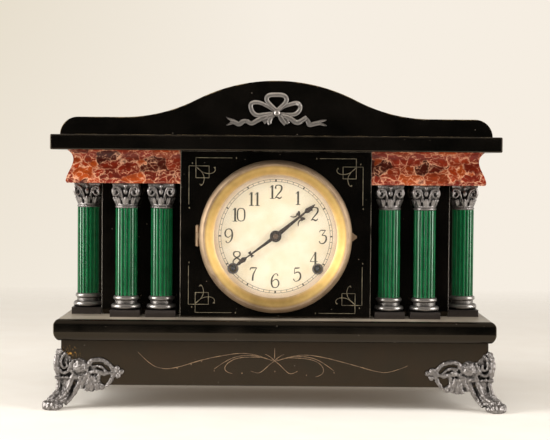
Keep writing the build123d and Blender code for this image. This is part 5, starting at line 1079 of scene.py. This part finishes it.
def smooth_line(points):
    """Points read from a NURBS line through the bow's plane, in mm."""
    curve = bpy.data.curves.new("bow_line", "CURVE")
    curve.dimensions = "3D"
    curve.resolution_u = 10
    nurbs_line(curve, [(x, 0, z) for x, z in points], unit=1)
    holder = placed("bow_line", curve)
    mesh = bpy.data.meshes.new_from_object(holder)
    read = [(v.co.x, v.co.z) for v in mesh.vertices]
    bpy.data.objects.remove(holder)
    bpy.data.meshes.remove(mesh)
    return read


def band(points, widths, deep, lift=0.0, ribs=0.0):
    """A ribbon along a line; its width runs from the first to the last figure, ribs wave across it."""
    line = smooth_line(points)
    verts, faces = [], []
    count = len(line)
    for i, (x, z) in enumerate(line):
        ahead, behind = line[min(i + 1, count - 1)], line[max(i - 1, 0)]
        along = Vector((ahead[0] - behind[0], ahead[1] - behind[1]))
        along = along.normalized() if along.length > 0 else Vector((1, 0))
        share = i / (count - 1)
        place_in = share * (len(widths) - 1)
        first = min(int(place_in), len(widths) - 2)
        half = widths[first] + (widths[first + 1] - widths[first]) * (place_in - first)
        wave = 1 + ribs * math.sin(2.4 * i)
        for s, h in BAND_SECTION:
            y = BOW_BACK_Y - lift - deep * h * wave
            verts.append(((x - along.y * s * half) * MM, y * MM, (z + along.x * s * half) * MM))
    ring = len(BAND_SECTION)
    for i in range(count - 1):
        for k in range(ring):
            a, b = i * ring + k, i * ring + (k + 1) % ring
            faces.append((a, b, b + ring, a + ring))
    faces.append(tuple(range(ring)))
    faces.append(tuple(range((count - 1) * ring, count * ring)))
    mesh = bpy.data.meshes.new("band")
    mesh.from_pydata(verts, [], faces)
    piece = placed("band", mesh)
    close_up(piece, 0.001)
    return piece


# %% Tie the bow
BOW_BANDS = [
    ([(0, 291), (-6, 296), (-10.6, 301.5), (-8, 306), (0, 306.2), (7.5, 306), (10.6, 301), (6, 295.5),
      (0.6, 291)], [2.0, 2.3, 2.3, 2.0], 1.7, 0.2, 0.0),
    ([(-1, 290), (-9, 295.4), (-18, 299.2), (-25.6, 298), (-25, 291), (-20, 285.4), (-11, 287), (-3, 287.6)],
     [1.6, 2.1, 2.2, 2.2], 1.6, 0.1, 0.0),
    ([(1, 290), (6, 294.6), (13, 297), (20.6, 299), (24, 294), (20, 287.6), (12, 286.4), (3, 287.4)],
     [1.6, 2.1, 2.1, 2.0], 1.6, 0.1, 0.16),
    ([(-3, 287), (-8, 283.4), (-13, 279.6)], [2.6, 2.4, 2.8], 1.4, 0.3, 0.1),
    ([(-5, 284), (-8, 280.4), (-6.4, 277.4)], [2.0, 2.2, 2.0], 1.7, 0.4, 0.0),
    ([(3, 287), (4.6, 281.6), (9, 277.6)], [2.4, 2.4, 2.0], 1.6, 0.4, 0.0),
    ([(5, 286), (9.4, 282), (11.6, 278.4)], [2.2, 2.4, 1.8], 1.4, 0.3, 0.1),
    ([(-4, 286), (-13, 284), (-19, 281), (-25.4, 276.8), (-29, 281)], [2.4, 2.5, 2.2, 2.0], 1.5, 0.2, 0.0),
    ([(-26, 279), (-31.5, 281.6), (-36.4, 276.4), (-41, 279.6), (-45, 280.2)],
     [1.8, 2.4, 2.3, 2.2], 1.3, 0.1, 0.08),
    ([(-41, 280.4), (-45, 281.6), (-49.0, 284.0)], [1.5, 1.2, 0.35], 1.2, 0.0, 0.0),
    ([(-41, 279), (-45, 278), (-49.0, 276.0)], [1.5, 1.2, 0.35], 1.2, 0.0, 0.0),
    ([(4, 286.4), (12.4, 284.6), (20, 278), (25, 281.6), (29.6, 284.6)],
     [2.0, 2.5, 2.4, 2.0], 1.6, 0.3, 0.12),
    ([(27, 284.4), (31, 281), (31.6, 276.6), (36.4, 278), (43, 279.4)],
     [1.9, 2.3, 2.3, 2.3], 1.4, 0.1, 0.1),
    ([(42, 280.4), (46, 281.4), (48.9, 282.2)], [1.4, 1.1, 0.35], 1.2, 0.0, 0.0),
    ([(42, 278.4), (46, 277.4), (49.0, 276.2)], [1.4, 1.1, 0.35], 1.2, 0.0, 0.0),
]
bow_parts = [band(*row) for row in BOW_BANDS]
bow_parts.append(ball((0.4, BOW_BACK_Y - 0.6, 288.2), 3.0, (1.05, 0.72, 1.1)))
bow = join("ribbon_bow", bow_parts)
smooth(bow, 50)
print("bow", [round(c / MM, 1) for c in bow.dimensions])
seat(bow, bow_metal, "cast_white_metal", "case", "ribbon_ornament")

# %% [markdown]
# ## Floor, light and camera
# The clock stands on a white sheet in front of a pale wall. The sheet ends a little way in front of the
# clock, and the room beyond is dark: that is why the upright black faces stay black while the base, which
# looks down at the sheet, shows a soft grey. A faint warm glow of the sheet's own is painted light, which
# lifts the shadow under the base. Two soft boxes, a ceiling light and a weak fill in front shine on the
# clock; the last two are kept out of the reflections, or they would show as squares in the lacquer.

# %% Floor
FLOOR_FRONT = 0.66
FLOOR_BACK = 0.45
FLOOR_FADE = 0.95
FLOOR_EDGE = 0.05
FLOOR_WIDE = 5.0
bpy.ops.object.select_all(action="DESELECT")
bpy.ops.mesh.primitive_grid_add(x_subdivisions=8, y_subdivisions=8, size=1)
floor = bpy.context.object
floor.name = "white_sheet"
floor.data.transform(Matrix.Diagonal((FLOOR_WIDE, FLOOR_FRONT + FLOOR_BACK + 2 * FLOOR_FADE, 1, 1)))
floor.data.transform(Matrix.Translation((0, (FLOOR_BACK - FLOOR_FRONT) / 2, 0)))
# Painted light: the sheet's faint warm glow lifts the shadow under the base.
shadow_lifting_glow = {"Emission_Color": linear("#ffdcb4"), "Emission_Strength": 0.07}
sheet, tree, shader, place = start_finish("white_sheet", Roughness=0.8, Specular_IOR_Level=0.2, **shadow_lifting_glow)
depth = node(tree, "SeparateXYZ", {0: place}).outputs["Y"]
back_fade = {"From Min": FLOOR_BACK, "From Max": FLOOR_BACK + FLOOR_FADE}
behind = node(tree, "MapRange", {"Value": depth, **back_fade})
front_fade = {"From Min": -FLOOR_FRONT, "From Max": -FLOOR_FRONT - FLOOR_EDGE}
ahead = node(tree, "MapRange", {"Value": depth, **front_fade})
gone = node(tree, "Math", {0: behind, 1: ahead}, operation="MAXIMUM")
fibre = node(tree, "TexNoise", {"Vector": place, "Scale": per(60), "Detail": 3.0})
white = node(tree, "ValToRGB", {"Fac": fibre}, [(0.3, "#f3f0ea"), (0.7, "#f7f5f0")])
feed(shader, {"Base Color": white})
clear = node(tree, "BsdfTransparent")
edge = node(tree, "MixShader", {0: gone, 1: shader, 2: clear})
feed(tree.nodes["Material Output"], {"Surface": edge})
floor.data.materials.append(sheet)
print("floor from y", -FLOOR_FRONT, "to", FLOOR_BACK, "m")

# %% The pale wall and the dark room
world = bpy.data.worlds.new("pale_wall_dark_room")
scene.world = world
world.use_nodes = True
tree = world.node_tree
heading = node(tree, "SeparateXYZ", {0: node(tree, "TexCoord").outputs["Generated"]})
ray = node(tree, "LightPath")
wall_side = node(tree, "MapRange", {"Value": heading.outputs["Y"], "From Min": -0.35, "From Max": 0.25})
below_ceiling = node(tree, "MapRange", {"Value": heading.outputs["Z"], "From Min": 0.5, "From Max": 0.2})
wall_seen = node(tree, "Math", {0: wall_side, 1: below_ceiling}, operation="MULTIPLY")
wall_room = node(tree, "ValToRGB", {"Fac": wall_seen}, [(0.0, "#14110f"), (1.0, "#f2ece2")])
overhead = node(tree, "MapRange", {"Value": heading.outputs["Z"], "From Min": 0.35, "From Max": 0.7})
room = node(tree, "MixRGB", {0: overhead, 1: wall_room, 2: linear("#bdb5aa")})
# Painted shade: the wall seen behind the clock darkens towards the upper left.
leftward = node(tree, "MapRange", {"Value": heading.outputs["X"], "From Min": 0.0, "From Max": -0.18})
rise = {"From Min": -0.1, "From Max": 0.1, "To Min": 0.3}
upward = node(tree, "MapRange", {"Value": heading.outputs["Z"], **rise})
corner = node(tree, "Math", {0: leftward, 1: upward}, operation="MULTIPLY")
wall_with_painted_shade = node(tree, "ValToRGB", {"Fac": corner}, [(0.0, "#f6eee2"), (1.0, "#e7decd")])
ambient = node(tree, "MixRGB", {0: ray.outputs["Is Glossy Ray"], 1: linear("#8c867e"), 2: room})
looks = {0: ray.outputs["Is Camera Ray"], 1: ray.outputs["Is Transmission Ray"]}
seen = node(tree, "Math", looks, operation="MAXIMUM")
colour = node(tree, "MixRGB", {0: seen, 1: ambient, 2: wall_with_painted_shade})
feed(tree.nodes["Background"], {"Color": colour})
print("world", world.name)


# %% Soft boxes
LAMP_COLOUR = "#fffcf7"


def soft_box(name, place_m, aim_m, wide_m, tall_m, watts):
    """A flat soft light aimed at a point."""
    data = bpy.data.lights.new(name, "AREA")
    data.shape = "RECTANGLE"
    data.size = wide_m
    data.size_y = tall_m
    data.energy = watts
    data.color = linear(LAMP_COLOUR)[:3]
    lamp = placed(name, data)
    lamp.location = place_m
    lamp.rotation_euler = (Vector(aim_m) - Vector(place_m)).to_track_quat("-Z", "Y").to_euler()
    print("lamp", name, watts, "W")
    return lamp


soft_box("left_box", (-1.7, -0.58, 0.72), (0, 0, 0.60), 1.1, 1.4, 52)
soft_box("right_box", (1.7, -0.58, 0.72), (0, 0, 0.60), 1.1, 1.4, 36)
ceiling = soft_box("ceiling", (-0.2, -0.8, 1.5), (0, -0.1, 0.0), 1.0, 1.0, 5)
ceiling.visible_glossy = False
fill = soft_box("front_fill", (0, -1.9, 0.72), (0, 0, 0.1), 0.6, 0.6, 6)
fill.visible_glossy = False

# %% Camera
IMAGE_WIDTH = 550
IMAGE_HEIGHT = 440
HORIZON_Y = 165
LENS = 100.5
SENSOR = 36.0
CAMERA_PLACE = (-0.0007, -1.5625, 0.2378)
CAMERA_ROLL = 0.45
lens_px = LENS / SENSOR * IMAGE_WIDTH
tilt = math.atan((IMAGE_HEIGHT / 2 - HORIZON_Y) / lens_px)
camera_data = bpy.data.cameras.new("camera")
camera_data.lens = LENS
camera_data.sensor_width = SENSOR
camera = placed("camera", camera_data)
camera.location = CAMERA_PLACE
upright = Matrix.Rotation(math.radians(90) - tilt, 4, "X")
camera.rotation_euler = (upright @ Matrix.Rotation(math.radians(CAMERA_ROLL), 4, "Z")).to_euler()
scene.camera = camera
print("camera tilt", round(math.degrees(tilt), 2))
